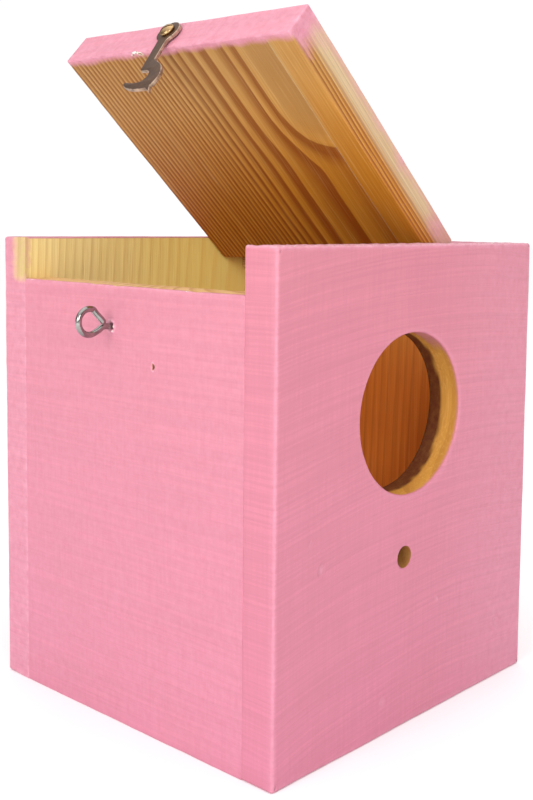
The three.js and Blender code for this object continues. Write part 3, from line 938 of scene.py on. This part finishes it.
class NESTBOX_OT_floor_board(bpy.types.Operator):
    """Make the bare floor board"""

    bl_idname = "nestbox.floor_board"
    bl_label = "Floor board"

    def execute(self, context):
        low, high = span("floor_board")
        points, faces, flat, grain, years = make_block_board(
            low, high, 0.4, (0, 1, 2), dict(heart=15, lift=18, slope=0.07, spread=380), seed=51
        )
        piece = make_mesh("floor_board_finished", points, faces)
        gap = np.minimum(HALF_WIDTH - BOARD - np.abs(flat[:, 0]), INNER - np.abs(flat[:, 1]))
        under = (1 - fade(flat[:, 2], 0.1, 2.0)) * (1 - fade(gap, 1.5, 7)) * 0.8
        board_values(piece, points, grain, years, under, 0.0, 0, 0.5)
        material = painted_pine(
            "bare_pine_floor",
            early=(0.78, 0.52, 0.24), late=(0.48, 0.22, 0.07),
            warm_early=(0.74, 0.42, 0.14), warm_late=(0.42, 0.17, 0.04),
            late_strength=0.9,
        )
        settle(piece, "box", "bare_pine", material, "floor_board")
        return {"FINISHED"}


class NESTBOX_OT_top_strip(bpy.types.Operator):
    """Make the fixed strip of the top that the lid is hinged to"""

    bl_idname = "nestbox.top_strip"
    bl_label = "Top strip"

    def execute(self, context):
        low, high = span("top_strip")
        low[1], high[1] = -INNER - TUCK, INNER + TUCK
        points, faces, flat, grain, years = make_block_board(
            low, high, 0.35, (1, 0, 2), dict(heart=90, lift=12, slope=0.03, spread=300), seed=61
        )
        piece = make_mesh("top_strip_finished", points, faces)
        under = (1 - fade(flat[:, 2], low[2] + 0.1, low[2] + 1.5)) * fade(high[0] - flat[:, 0], 0.05, 0.8)
        lid_side = 1 - fade(flat[:, 0], low[0] + 0.1, low[0] + 1.2)
        depth = high[2] - flat[:, 2]
        paint = (1 - under) * (1 - lid_side * fade(depth, 0.8, 4.5))
        board_values(piece, points, grain, years, paint, 0.45 * edge_wear(flat, low, high, 1.0), 0, 0.5)
        material = painted_pine(
            "painted_pine_strip",
            early=(0.78, 0.52, 0.24), late=(0.48, 0.22, 0.07),
            warm_early=(0.74, 0.42, 0.14), warm_late=(0.42, 0.17, 0.04),
            late_strength=0.9, brush_scale=(760, 16, 760),
        )
        settle(piece, "box", "pink_paint", material, "top_strip")
        return {"FINISHED"}


# how many dark rings of the wide stave lie within a distance of its heart line
LID_RINGS = [(0, 0.2), (14, 0.5), (18.2, 1), (23, 2), (31, 3), (37, 4), (42.2, 5), (46, 6), (49.4, 7),
             (52.2, 8), (111, 36)]
HEART_LINE = 96.0  # from the lid's back end to the wide stave's heart line
STAVE_JOINT = 92.1  # from the lid's back end to the glue line between its two staves
END_GAP, HINGE_GAP = 0.5, 0.6  # from the shut lid to the end boards and to the hinge axis


class NESTBOX_OT_lid(bpy.types.Operator):
    """Make the lid from its two glued staves, painted outside and bare beneath"""

    bl_idname = "nestbox.lid"
    bl_label = "Lid"

    def execute(self, context):
        sizes = context.scene.nest_box_sizes
        low = np.array([-HALF_WIDTH, -(INNER - END_GAP), TOP - BOARD])
        high = np.array([HINGE_AXIS[0] - HINGE_GAP, INNER - END_GAP, TOP])
        radius = 0.55
        joint_y = high[1] - STAVE_JOINT
        close = joint_y + np.array([-0.5, -0.22, -0.05, 0.05, 0.22, 0.5])
        lines = [
            grid_lines(low[0], high[0], radius, 1.0, low[0] + np.arange(0.8, 6, 0.35)),
            grid_lines(low[1], high[1], radius, 1.0, close),
            grid_lines(low[2], high[2], radius, 1.2),
        ]
        flat, faces = block_surface(lines)
        points = round_edges(flat, low, high, radius)
        points = uneven(points, faces, 71, 0.8 * sizes.unevenness / MM)
        down = flat[:, 0] - low[0]  # from the free edge towards the hinge
        across = high[1] - flat[:, 1]  # from the back end towards the entrance
        depth = high[2] - flat[:, 2]  # from the top down

        # a fine groove at the glue line, and a nicked free edge beneath
        groove = np.exp(-((flat[:, 1] - joint_y) ** 2) / 0.02)
        under = fade(depth, BOARD - 0.3, BOARD - 0.02)
        points[:, 2] += 0.12 * groove * under - 0.12 * groove * (1 - fade(depth, 0.02, 0.3))
        nick = ripple(flat, 2.3, 8)
        free_corner = (1 - fade(down, 0.2, 2.2)) * under
        points[:, 2] += 0.22 * np.maximum(nick, 0) * free_corner

        years = lid_years(down, across, depth, flat)
        piece = make_mesh("lid_finished", swing_open(points), faces)
        # painted outside; beneath, only a bleed along the free edge; the ends are partly covered
        bleed = 1 - fade(down + 0.35 * ripple(flat, 13, 14), 0.0, 4.0)
        beneath = fade(depth, BOARD - 1.2, BOARD - 0.05)
        hinge_end = fade(down, high[0] - low[0] - 0.6, high[0] - low[0] - 0.05)
        ends = np.maximum(1 - fade(flat[:, 1], low[1] + 0.05, low[1] + 0.7),
                          fade(flat[:, 1], high[1] - 0.7, high[1] - 0.05))
        near_edge = 1 - fade(down + 2.5 * ripple(flat, 12, 17), 3, 17)
        top_band = 0.5 * (1 - fade(depth, -1, 6))
        low_patch = 0.5 * fade(down, 72, 92) * (1 - fade(depth, 5, 10))
        end_cover = np.maximum(np.maximum(near_edge, top_band), low_patch) + 0.1 * ripple(flat, 14, 15)
        paint = (1 - beneath * (1 - 0.95 * bleed)) * (1 - ends * (1 - np.clip(end_cover, 0, 1)))
        paint *= 1 - 0.75 * hinge_end * fade(depth, 1, 6)
        # paint is rubbed a little all over, and frayed at two places on the free edge beneath
        worn = 0.34 + 0.16 * edge_wear(flat, low, high, 1.2) + 0.08 * ends
        fray = np.exp(-((across - 36.5) ** 2) / 40) * (1 - fade(np.abs(down - 0.7), 0.5, 1.7)) * beneath
        fray += 0.8 * np.exp(-((across - 53) ** 2) / 3) * (1 - fade(np.abs(down - 1.0), 0.5, 1.6)) * beneath
        worn = np.maximum(worn, fray * (0.8 + 0.3 * nick))
        # the wood ripens towards the hinges and the entrance, with one pale bay in the wide stave
        warm = 0.3 + 0.7 * fade(down + 0.25 * across, 14, 85)
        bay = fade(across, 77, 83) * (1 - fade(across, STAVE_JOINT, STAVE_JOINT + 2))
        bay *= 1 - fade(down, 25, 50)
        warm -= 0.6 * bay * warm
        grain = (down, across, depth)
        # the upper part of the ends and the glue line are sawn rough and pale
        sawn = np.maximum(ends * (0.9 - 0.85 * fade(depth, 4.5, 8.5)), 0.55 * groove * under)
        dusty = 0.16 * (1 - fade(down, 6, 32)) * beneath
        board_values(piece, flat, grain, years, paint, worn, dusty, warm, bleached=sawn)
        material = painted_pine(
            "painted_pine_lid",
            early=(0.60, 0.39, 0.15), late=(0.30, 0.13, 0.03),
            warm_early=(0.57, 0.235, 0.021), warm_late=(0.285, 0.067, 0.003),
            late_strength=1.7, brush_scale=(760, 16, 760), brush_depth=0.8, uneven_by=0.25, late_from=0.26,
        )
        settle(piece, "lid", "pink_paint", material, "lid")
        return {"FINISHED"}


def lid_years(down, across, depth, flat):
    """The year of each point of the lid. In the wide stave R = sqrt(a^2 + L^2 exp(-a^2 / 900)), a being the
    distance from the heart line and L rising along the board, and the year is read off LID_RINGS at R: wide
    rings near the heart, then closer and closer ones. The narrow stave's rings lie flat."""
    a = HEART_LINE - across
    lift = 19 * fade(down + 2.0 * ripple(flat, 60, 18), 18, 55) + 0.12 * (depth - BOARD)
    radius = np.sqrt(a**2 + lift**2 * np.exp(-(a**2) / 900)) + 0.5 * ripple(flat * [0.15, 1, 1], 30, 19)
    count = np.interp(radius, *zip(*LID_RINGS))
    wide = 0.605 - count + 0.25 * (BOARD - depth)
    risen = 0.2 * fade(down - 1.2 * (across - 93), 0, 35)
    narrow = (BOARD - depth) / 1.55 - 0.2 + risen + 0.02 * ripple(flat, 25, 20)
    return np.where(across < STAVE_JOINT, wide, narrow)


# ---------------------------------------------------------------------------------------------- hook and eye
HOOK_GAP = 0.5  # between the lid's free edge and the hook's plate
SCREW_PLAY = 0.12  # between the hook's plate and the screw's head


def arc(centre, radius, start, end, count):
    """Points round an arc, in degrees."""
    t = np.radians(np.linspace(start, end, count))
    return np.stack([centre[0] + radius * np.cos(t), centre[1] + radius * np.sin(t)], 1)


def bend(*controls, count=12):
    """A Bezier curve through two ends with one or two controls, without its first point."""
    controls = np.array(controls, float)
    t = np.linspace(0, 1, count + 1)[1:, None]
    if len(controls) == 3:
        a, b, c = controls
        return (1 - t) ** 2 * a + 2 * t * (1 - t) * b + t**2 * c
    a, b, c, d = controls
    return (1 - t) ** 3 * a + 3 * t * (1 - t) ** 2 * b + 3 * t**2 * (1 - t) * c + t**3 * d


def hook_outline():
    """The stamped hook's outline, anticlockwise, with its pivot at the origin and its end hanging down: a
    round eyelet, a straight shank whose back edge ends in a beak, a swollen back with a thumb tab, and a
    blunt horn that curls round the throat under the beak."""
    back_edge, eyelet = -2.3, 4.3
    neck = 180 + math.degrees(math.acos(-back_edge / eyelet))
    return np.concatenate([
        bend((6.3, -27.4), (7.7, -25.6), (7.8, -23.0), count=8),
        bend((7.8, -23.0), (7.6, -17.0), (2.2, -15.2), (1.4, -13.6), count=16),
        [[1.43, -9.0], [1.45, -6.0]],
        bend((1.45, -6.0), (1.5, -4.4), (2.28, -3.65), count=5),
        arc((0, 0), eyelet, -57, neck - 1, 40),
        [[back_edge, -3.75], [back_edge, -8.0], [back_edge, -13.0], [back_edge, -17.7]],
        [[-2.1, -18.05]],
        arc((0, -21.4), 2.65, 80, -90, 16),
        bend((0, -24.05), (-2.8, -23.9), (-5.9, -22.3), count=10),
        bend((-5.9, -22.3), (-7.1, -22.9), (-6.0, -24.0), count=6),
        bend((-6.0, -24.0), (-2.4, -27.4), (4.8, -28.2), count=14),
        [[6.7, -30.0], [7.0, -30.1], [7.05, -29.7]],
        [[6.3, -27.4]],
    ])


def plate_with_rounded_edges(outline, hole, thickness, rounding):
    """A flat plate whose edge is a quarter-round at each face. Loops of the outline are drawn in by
    rounding * (1 - cos a) at height rounding * (1 - sin a), and the two faces are filled between outline and
    hole. Also returns how near each point is to an edge."""

    def inward(loop):
        """Unit vectors square to the loop's mean direction at each point, into the plate."""
        ahead, behind = np.roll(loop, -1, axis=0) - loop, loop - np.roll(loop, 1, axis=0)
        way = unit(unit(ahead) + unit(behind))
        return np.stack([-way[:, 1], way[:, 0]], 1)

    quarter = np.radians([0, 30, 60, 90])
    steps = [(rounding * (1 - math.sin(a)), rounding * (1 - math.cos(a))) for a in quarter]
    levels = steps + [(draw, thickness - up) for draw, up in steps[::-1]]
    points, faces, worn, start = [], [], [], 0
    for loop in (outline, hole):
        normal, count = inward(loop), len(loop)
        numbers = start + np.arange(len(levels) * count).reshape(len(levels), count)
        faces += ring_quads(numbers)
        for number, (draw, height) in enumerate(levels):
            flat = loop + normal * draw
            points.append(np.column_stack([flat, np.full(count, height)]))
            worn.append(np.full(count, 1.0 if 0 < number < len(levels) - 1 else 0.55))
        start += numbers.size
    points, worn = np.concatenate(points), np.concatenate(worn)
    outer = len(outline)
    for level, flip in ((0, True), (len(levels) - 1, False)):
        outer_numbers = level * outer + np.arange(outer)
        hole_numbers = len(levels) * outer + level * len(hole) + np.arange(len(hole))
        numbers = np.concatenate([outer_numbers, hole_numbers])
        loops = [[Vector(points[n]) for n in outer_numbers], [Vector(points[n]) for n in hole_numbers]]
        for triangle in tessellate_polygon(loops):
            face = [int(numbers[n]) for n in triangle]
            a, b, c = points[face[0]], points[face[1]], points[face[2]]
            up = (b[0] - a[0]) * (c[1] - a[1]) - (b[1] - a[1]) * (c[0] - a[0])
            faces.append(face if (up > 0) != flip else face[::-1])
    return points, faces, worn


def on_lid_edge(points, tilt=0.0):
    """Carries points from the hook's own plane to the open lid's free edge. There x points to the entrance,
    y up the edge and z out of it; tilt turns them about the pivot first."""
    x, y, out = spin(points, tilt).T
    pivot = shut(HOOK_PIVOT)
    return swing_open(np.stack([pivot[0] - out, pivot[1] - x, pivot[2] + y], 1))


class NESTBOX_OT_hook(bpy.types.Operator):
    """Make the stamped hook that swings on the lid's free edge"""

    bl_idname = "nestbox.hook"
    bl_label = "Hook"

    def execute(self, context):
        sizes = context.scene.nest_box_sizes
        hole = arc((0, 0), 1.5, 360, 0, 29)[:-1]
        points, faces, worn = plate_with_rounded_edges(hook_outline(), hole, sizes.plate / MM, rounding=0.22)
        points[:, 2] += HOOK_GAP
        piece = make_mesh("hook_finished", on_lid_edge(points, sizes.hook_tilt), faces)
        sharpen(piece, 50)
        # the rounded edges come out bright: rubbed bronze, and a painted highlight along the lit edges
        store(piece, worn=0.62 * worn)
        colours = context.scene.nest_box_colours
        material = rubbed_and_highlit_metal("antique_bronze_hook", colours.bronze, colours.worn_bronze, (0.34, 0.5),
                                metallic=0.7)
        settle(piece, "hook", "antique_bronze", material, "hook")
        return {"FINISHED"}


def slotted_screw(head_radius, head_height, shank_radius, length, head_under, slot, slot_turn):
    """A slotted screw standing on height 0 with its shank below: a domed head, r = R cos(a)^0.8 and
    h = H sin a, over a plain shank with a point; and the cutter for its slot."""
    top = head_under + head_height
    dome = [(head_radius * math.cos(a) ** 0.8, head_under + head_height * math.sin(a))
            for a in np.radians([18, 34, 50, 66, 80])]
    profile = [(0, -length), (shank_radius * 0.35, -length + 0.8), (shank_radius, -length + 3),
               (shank_radius, 0), (head_radius * 0.93, 0), (head_radius, head_under * 0.5 + 0.12),
               (head_radius, head_under + head_height * 0.18), *dome, (0, top)]
    reach, half = head_radius * 1.5, slot / 2
    corners, slot_faces = block_surface([[-reach, reach], [-half, half], [top - 0.75, top + 1]])
    return lathe(profile, 40), (spin(corners, slot_turn), slot_faces)


class NESTBOX_OT_hook_screw(bpy.types.Operator):
    """Make the slotted brass screw that the hook turns on"""

    bl_idname = "nestbox.hook_screw"
    bl_label = "Hook screw"

    def execute(self, context):
        sizes = context.scene.nest_box_sizes
        seat = HOOK_GAP + sizes.plate / MM + SCREW_PLAY
        (points, faces), (slot, slot_faces) = slotted_screw(
            head_radius=2.5, head_height=1.15, shank_radius=1.15, length=11.5, head_under=0.35, slot=0.62,
            slot_turn=math.radians(35),
        )
        lift = np.array([0, 0, seat])
        piece = make_mesh("hook_screw_finished", on_lid_edge(points + lift), faces)
        cut(piece, [(on_lid_edge(slot + lift), slot_faces)])
        sharpen(piece, 35)
        store(piece, worn=0.45)
        colours = context.scene.nest_box_colours
        material = rubbed_and_highlit_metal("brass_hook_screw", colours.brass, shade(colours.brass, 1.5), (0.22, 0.4))
        settle(piece, "lid", "brass", material, "hook_screw")
        return {"FINISHED"}


def tube(path, radii, sides):
    """A round section carried along a path in one plane: each ring is
    p + r (cos t * side + sin t * up), with up the plane's normal, and both ends close in a pole."""
    ahead = unit(np.gradient(path, axis=0))
    up = np.array([0.0, 0.0, 1.0])
    side = np.cross(up, ahead)
    t = np.arange(sides) * 2 * np.pi / sides
    ring = np.cos(t)[None, :, None] * side[:, None, :] + np.sin(t)[None, :, None] * up
    rings = path[:, None, :] + radii[:, None, None] * ring
    return close_rings(rings, [path[0] - ahead[0] * 0.05], [path[-1] + ahead[-1] * 0.05])


def smooth_path(points, count):
    """A Catmull-Rom curve through points, sampled evenly in its parameter."""
    points = np.asarray(points, float)
    padded = np.vstack([2 * points[0] - points[1], points, 2 * points[-1] - points[-2]])
    u = np.linspace(0, len(points) - 1 - 1e-9, count)
    base, t = u.astype(int), (u % 1)[:, None]
    a, b, c, d = (padded[base + shift] for shift in range(4))
    return 0.5 * (2 * b + (c - a) * t + (2 * a - 5 * b + 4 * c - d) * t**2 + (3 * b - a - 3 * c + d) * t**3)


class NESTBOX_OT_screw_eye(bpy.types.Operator):
    """Make the bright wire screw eye in the latch wall"""

    bl_idname = "nestbox.screw_eye"
    bl_label = "Screw eye"

    def execute(self, context):
        sizes = context.scene.nest_box_sizes
        loop, wire = sizes.loop / MM, sizes.wire / MM
        # the wire's route, out of the wall and up: stem, loop, and the cut end drawn down to it
        turn = np.radians(np.linspace(246, 474, 17))
        circle = np.stack([EYE_LOOP_OUT + loop * np.cos(turn), EYE_LOOP_UP + loop * np.sin(turn)], 1)
        tip = np.array([3.2, 1.3])
        arm = circle[-1] + (tip - circle[-1]) * np.array([0.35, 0.68, 1.0])[:, None]
        arm[:2] += [[0.45, 0.4], [0.38, 0.35]]
        stem = [[-8.9, 0], [-5, 0], [-2, 0], [0.8, 0.1], [2.9, 0.05], [4.5, -0.9]]
        route = np.vstack([stem, circle, arm])
        aside = np.append(np.zeros(len(route) - 3), [-0.3, -0.8, -1.2])
        path = smooth_path(np.column_stack([route, aside]), 190)
        radii = np.full(len(path), wire)
        radii[-3:] = wire * np.array([0.94, 0.8, 0.55])
        radii[:4] = wire * np.array([0.3, 0.5, 0.7, 0.85])
        points, faces = tube(path, radii, 28)
        out, up, along = points.T
        placed = np.stack([-HALF_WIDTH - out, EYE_Y + along, EYE_SHANK_Z + up], 1)
        piece = make_mesh("screw_eye_finished", placed, faces)
        store(piece, worn=0.35)
        colours = context.scene.nest_box_colours
        material = rubbed_and_highlit_metal("zinc_wire", colours.zinc, shade(colours.zinc, 2.3), (0.08, 0.2), 300)
        settle(piece, "box", "zinc_wire", material, "screw_eye")
        return {"FINISHED"}


# ---------------------------------------------------------------------------------------------------- hinges
HINGE_PLACES = {"front": -27.0, "back": 27.0}
LEAF_INNER, LEAF_OUTER, BARREL_RADIUS, PIN_RADIUS = 2.0, 9.8, 1.7, 0.75
LEAF_LENGTH, SCREW_OUT, SCREW_SPACING = 20.0, 6.0, 11.0
LEAF_BASE = TOP + 0.3  # the underside of a leaf's plate


def leaf_parts(side, middle, thickness):
    """One hinge leaf, shut: a rounded plate, and rolled barrels that are lathed rings round the pin, each
    with a short tongue back to the plate."""
    inner, outer = sorted((HINGE_AXIS[0] + side * LEAF_INNER, HINGE_AXIS[0] + side * LEAF_OUTER))
    half, third = LEAF_LENGTH / 2, LEAF_LENGTH / 3
    play = 0.15  # half the gap between two barrels
    # the strip's leaf has the two outer barrels, the lid's leaf the middle one
    if side > 0:
        barrels = [(-half, -third / 2 - play), (third / 2 + play, half)]
    else:
        barrels = [(-third / 2 + play, third / 2 - play)]
    base, crown = LEAF_BASE, LEAF_BASE + thickness
    r, bore, soft, sides = BARREL_RADIUS, PIN_RADIUS + 0.12, 0.18, 32
    t = np.arange(sides) * 2 * np.pi / sides
    sin, cos = np.sin(t), np.cos(t)

    def plate(low, high, rounding):
        """A block between two corners with rounded edges."""
        low, high = np.array(low), np.array(high)
        points, faces = block_surface([grid_lines(low[i], high[i], rounding, 2.0) for i in range(3)])
        return round_edges(points, low, high, rounding), faces.tolist()

    parts = [plate([inner, middle - half, base], [outer, middle + half, crown], 0.22)]
    for start, end in barrels:
        section = [(bore, start), (r - soft, start), (r - 0.05, start + 0.05), (r, start + soft),
                   (r, end - soft), (r - 0.05, end - 0.05), (r - soft, end), (bore, end)]
        rings = np.array([
            np.stack([HINGE_AXIS[0] + q * sin, np.full(sides, middle + y), HINGE_AXIS[2] + q * cos], 1)
            for q, y in section
        ])
        points, faces = close_rings(np.vstack([rings, rings[:1]]))
        count = len(section) * sides
        parts.append((points[:count], [[n % count for n in face] for face in faces]))
        reach = sorted((HINGE_AXIS[0], HINGE_AXIS[0] + side * (LEAF_INNER + 0.6)))
        parts.append(plate([reach[0], middle + start, base], [reach[1], middle + end, crown], 0.12))
    return merge(parts)


class NESTBOX_OT_hinges(bpy.types.Operator):
    """Make both butt hinges: leaves, pins and countersunk screws"""

    bl_idname = "nestbox.hinges"
    bl_label = "Hinges"

    def execute(self, context):
        sizes, colours = context.scene.nest_box_sizes, context.scene.nest_box_colours
        thickness = sizes.leaf / MM
        bronze = rubbed_and_highlit_metal("antique_bronze_hinge", colours.bronze, colours.worn_bronze, (0.34, 0.52),
                              metallic=0.7)
        brass = rubbed_and_highlit_metal("brass_small_parts", colours.brass, shade(colours.brass, 1.5), (0.25, 0.42))
        for place, middle in HINGE_PLACES.items():
            for side, part, body in ((1, "strip", "box"), (-1, "lid", "lid")):
                points, faces = leaf_parts(side, middle, thickness)
                worn = self.leaf_wear(points, middle)
                if body == "lid":
                    points = swing_open(points)
                leaf = make_mesh(f"hinge_{place}_{part}_leaf_finished", points, faces)
                sharpen(leaf, 40)
                store(leaf, worn=worn)
                settle(leaf, body, "antique_bronze", bronze, f"hinge_{place}_{part}_leaf")
                for number, shift in enumerate((-SCREW_SPACING / 2, SCREW_SPACING / 2), 1):
                    where = (HINGE_AXIS[0] + side * SCREW_OUT, middle + shift, LEAF_BASE + thickness)
                    self.screw(f"screw_{place}_{part}_{number}", where, body, brass, 0.6 * number + side)
            self.pin(place, middle, brass)
        return {"FINISHED"}

    @staticmethod
    def leaf_wear(points, middle):
        """Brighter round the barrel's crown and at the plate's ends."""
        crown = fade(points[:, 2], TOP + 2.4, TOP + 3.7)
        ends = fade(np.abs(points[:, 1] - middle), 9.4, 10)
        return 0.25 + 0.4 * np.maximum(crown, ends)

    @staticmethod
    def screw(name, where, body, material, turn):
        """An oval countersunk screw head, proud of the leaf by a quarter of a millimetre."""
        profile = [(0, -8.4), (0.5, -7.2), (0.95, -6), (0.95, -0.9), (1.75, -0.12), (1.75, 0.02),
                   (1.5, 0.12), (1.0, 0.2), (0.5, 0.24), (0, 0.25)]
        points, faces = lathe(profile, 32, where)
        slot, slot_faces = block_surface([[-3.0, 3.0], [-0.22, 0.22], [-0.3, 1.0]])
        slot = spin(slot, turn) + np.asarray(where)
        if body == "lid":
            points, slot = swing_open(points), swing_open(slot)
        screw = make_mesh(name + "_finished", points, faces)
        cut(screw, [(slot, slot_faces)])
        sharpen(screw, 35)
        store(screw, worn=0.4)
        settle(screw, body, "brass", material, name)

    @staticmethod
    def pin(place, middle, material):
        """The hinge pin, with a low dome at each end."""
        half = LEAF_LENGTH / 2
        profile = [(0, -half - 0.25), (0.45, -half - 0.18), (PIN_RADIUS, -half), (PIN_RADIUS, half),
                   (0.45, half + 0.18), (0, half + 0.25)]
        along_y = [[1, 0, 0], [0, 0, -1], [0, 1, 0]]
        points, faces = lathe(profile, 24, (HINGE_AXIS[0], middle, HINGE_AXIS[2]), along_y)
        pin = make_mesh(f"hinge_{place}_pin_finished", points, faces)
        sharpen(pin, 40)
        store(pin, worn=0.4)
        settle(pin, "box", "brass", material, f"hinge_{place}_pin")


class NESTBOX_OT_nails(bpy.types.Operator):
    """Give the sunk nails their steel"""

    bl_idname = "nestbox.nails"
    bl_label = "Nails"

    def execute(self, context):
        g = Graph("drawn_steel_nail")
        place = g.place()
        drawn = g.noise(g.scaled(place, (1200, 1200, 1200)), 1.0, 3, 0.6)
        rust = g.noise(place, 240, 4, 0.7)
        base = g.mix(g.span(rust, 0.5, 0.75), (0.36, 0.35, 0.34), (0.20, 0.10, 0.05))
        steel = g.finish(base_color=base, metallic=1.0, roughness=g.span(rust, 0.3, 0.7, 0.32, 0.6),
                         normal=g.bump(drawn, 0.02, 0.4))
        for name, node in frame["nodes"].items():
            if name.startswith("nail_"):
                for slot in node.material_slots:
                    slot.material = steel
        return {"FINISHED"}


# ----------------------------------------------------------------------------------------------------- stage
CAMERA_PLACE = (-276.9, -267.6, 157.3)
CAMERA_TURN = {"azimuth": -48.89, "elevation": 5.13, "roll": 0.816}
CAMERA_LENS = 50.58
CAMERA_SHIFT = (-0.0767, -0.0997)


class NESTBOX_OT_stage(bpy.types.Operator):
    """Set up the pale floor, soft lights and camera"""

    bl_idname = "nestbox.stage"
    bl_label = "Stage"

    def execute(self, context):
        self.floor()
        self.lights(context)
        self.camera(context)
        context.scene.view_settings.view_transform = "Standard"
        return {"FINISHED"}

    @staticmethod
    def floor():
        """A wide, almost white slab just under the box."""
        g = Graph("pale_floor")
        soft = g.noise(g.place(), 3.0, 2)
        white = g.mix(g.span(soft, 0.3, 0.7), (0.93, 0.93, 0.93), (0.95, 0.95, 0.95))
        material = g.finish(base_color=white, roughness=0.9, specular_ior_level=0.1)
        reach = 6000.0
        corners = [[x * reach, y * reach, -0.05] for x, y in ((-1, -1), (1, -1), (1, 1), (-1, 1))]
        floor = make_mesh("pale_floor", np.array(corners), [[0, 1, 2, 3]])
        floor.data.materials.append(material)

    @staticmethod
    def lights(context):
        """A bright overhead sky that the camera sees as white, and two soft lamps."""
        world = bpy.data.worlds.new("soft_white")
        world.use_nodes = True
        tree = world.node_tree
        backdrop = tree.nodes["Background"]
        backdrop.inputs["Color"].default_value = (1.0, 1.0, 1.0, 1.0)
        backdrop.inputs["Strength"].default_value = 1.02
        # light on the object: dim all round and brighter overhead, as under a large soft box
        height = tree.nodes.new("ShaderNodeSeparateXYZ")
        tree.links.new(tree.nodes.new("ShaderNodeTexCoord").outputs["Generated"], height.inputs[0])
        overhead = tree.nodes.new("ShaderNodeMapRange")
        overhead.interpolation_type = "SMOOTHSTEP"
        for name, value in (("From Min", 0.35), ("From Max", 0.9), ("To Min", 0.31), ("To Max", 2.05)):
            overhead.inputs[name].default_value = value
        tree.links.new(height.outputs["Z"], overhead.inputs["Value"])
        lighting = tree.nodes.new("ShaderNodeBackground")
        tree.links.new(overhead.outputs["Result"], lighting.inputs["Strength"])
        seen = tree.nodes.new("ShaderNodeMixShader")
        tree.links.new(tree.nodes.new("ShaderNodeLightPath").outputs["Is Camera Ray"], seen.inputs[0])
        tree.links.new(lighting.outputs[0], seen.inputs[1])
        tree.links.new(backdrop.outputs[0], seen.inputs[2])
        tree.links.new(seen.outputs[0], tree.nodes["World Output"].inputs["Surface"])
        context.scene.world = world
        target = Vector((0, 0, 0.09))
        for name, place, size, power in (
            ("key_light", (-1.1, -0.1, 0.45), 0.5, 4.3),
            ("fill_light", (-0.55, -0.75, 0.45), 0.5, 4.1),
        ):
            light = bpy.data.lights.new(name, "AREA")
            light.shape = "DISK"
            light.size = size
            light.energy = power
            lamp = bpy.data.objects.new(name, light)
            lamp.location = place
            lamp.rotation_mode = "QUATERNION"
            lamp.rotation_quaternion = (target - Vector(place)).to_track_quat("-Z", "Y")
            context.scene.collection.objects.link(lamp)

    @staticmethod
    def camera(context):
        """A camera turned by azimuth and elevation, then rolled about its own axis."""
        data = bpy.data.cameras.new("camera")
        data.lens = CAMERA_LENS
        data.sensor_width = 36.0
        data.shift_x, data.shift_y = CAMERA_SHIFT
        camera = bpy.data.objects.new("camera", data)
        azimuth, elevation = math.radians(CAMERA_TURN["azimuth"]), math.radians(CAMERA_TURN["elevation"])
        back = Vector((
            math.sin(azimuth) * math.cos(elevation),
            -math.cos(azimuth) * math.cos(elevation),
            math.sin(elevation),
        ))
        camera.rotation_mode = "QUATERNION"
        roll = Quaternion((0, 0, 1), math.radians(CAMERA_TURN["roll"]))
        camera.rotation_quaternion = (-back).to_track_quat("-Z", "Y") @ roll
        camera.location = Vector(CAMERA_PLACE) * MM
        context.scene.collection.objects.link(camera)
        context.scene.camera = camera


# ----------------------------------------------------------------------------------------------------- panel
OPERATORS = (
    NESTBOX_OT_stage,
    NESTBOX_OT_front_board,
    NESTBOX_OT_back_board,
    NESTBOX_OT_walls,
    NESTBOX_OT_floor_board,
    NESTBOX_OT_top_strip,
    NESTBOX_OT_lid,
    NESTBOX_OT_hinges,
    NESTBOX_OT_hook,
    NESTBOX_OT_hook_screw,
    NESTBOX_OT_screw_eye,
    NESTBOX_OT_nails,
)


class NESTBOX_PT_panel(bpy.types.Panel):
    """Lists the settings and the pieces of the nest box"""

    bl_idname = "NESTBOX_PT_panel"
    bl_label = "Nest box"
    bl_space_type = "VIEW_3D"
    bl_region_type = "UI"
    bl_category = "Nest box"

    def draw(self, context):
        for settings in (context.scene.nest_box_sizes, context.scene.nest_box_colours):
            box = self.layout.box()
            for name in settings.__annotations__:
                box.prop(settings, name)
        column = self.layout.column(align=True)
        for operator in OPERATORS:
            column.operator(operator.bl_idname)


CLASSES = (NestBoxSizes, NestBoxColours, *OPERATORS, NESTBOX_PT_panel)


def register():
    """Registers the settings, the operators and the panel."""
    for one in CLASSES:
        bpy.utils.register_class(one)
    bpy.types.Scene.nest_box_sizes = PointerProperty(type=NestBoxSizes)
    bpy.types.Scene.nest_box_colours = PointerProperty(type=NestBoxColours)


def unregister():
    """Takes them out again."""
    del bpy.types.Scene.nest_box_colours
    del bpy.types.Scene.nest_box_sizes
    for one in reversed(CLASSES):
        bpy.utils.unregister_class(one)


def main():
    """Builds every piece in turn."""
    register()
    for operator in OPERATORS:
        group, name = operator.bl_idname.split(".")
        getattr(getattr(bpy.ops, group), name)()


if __name__ == "__main__":
    main()
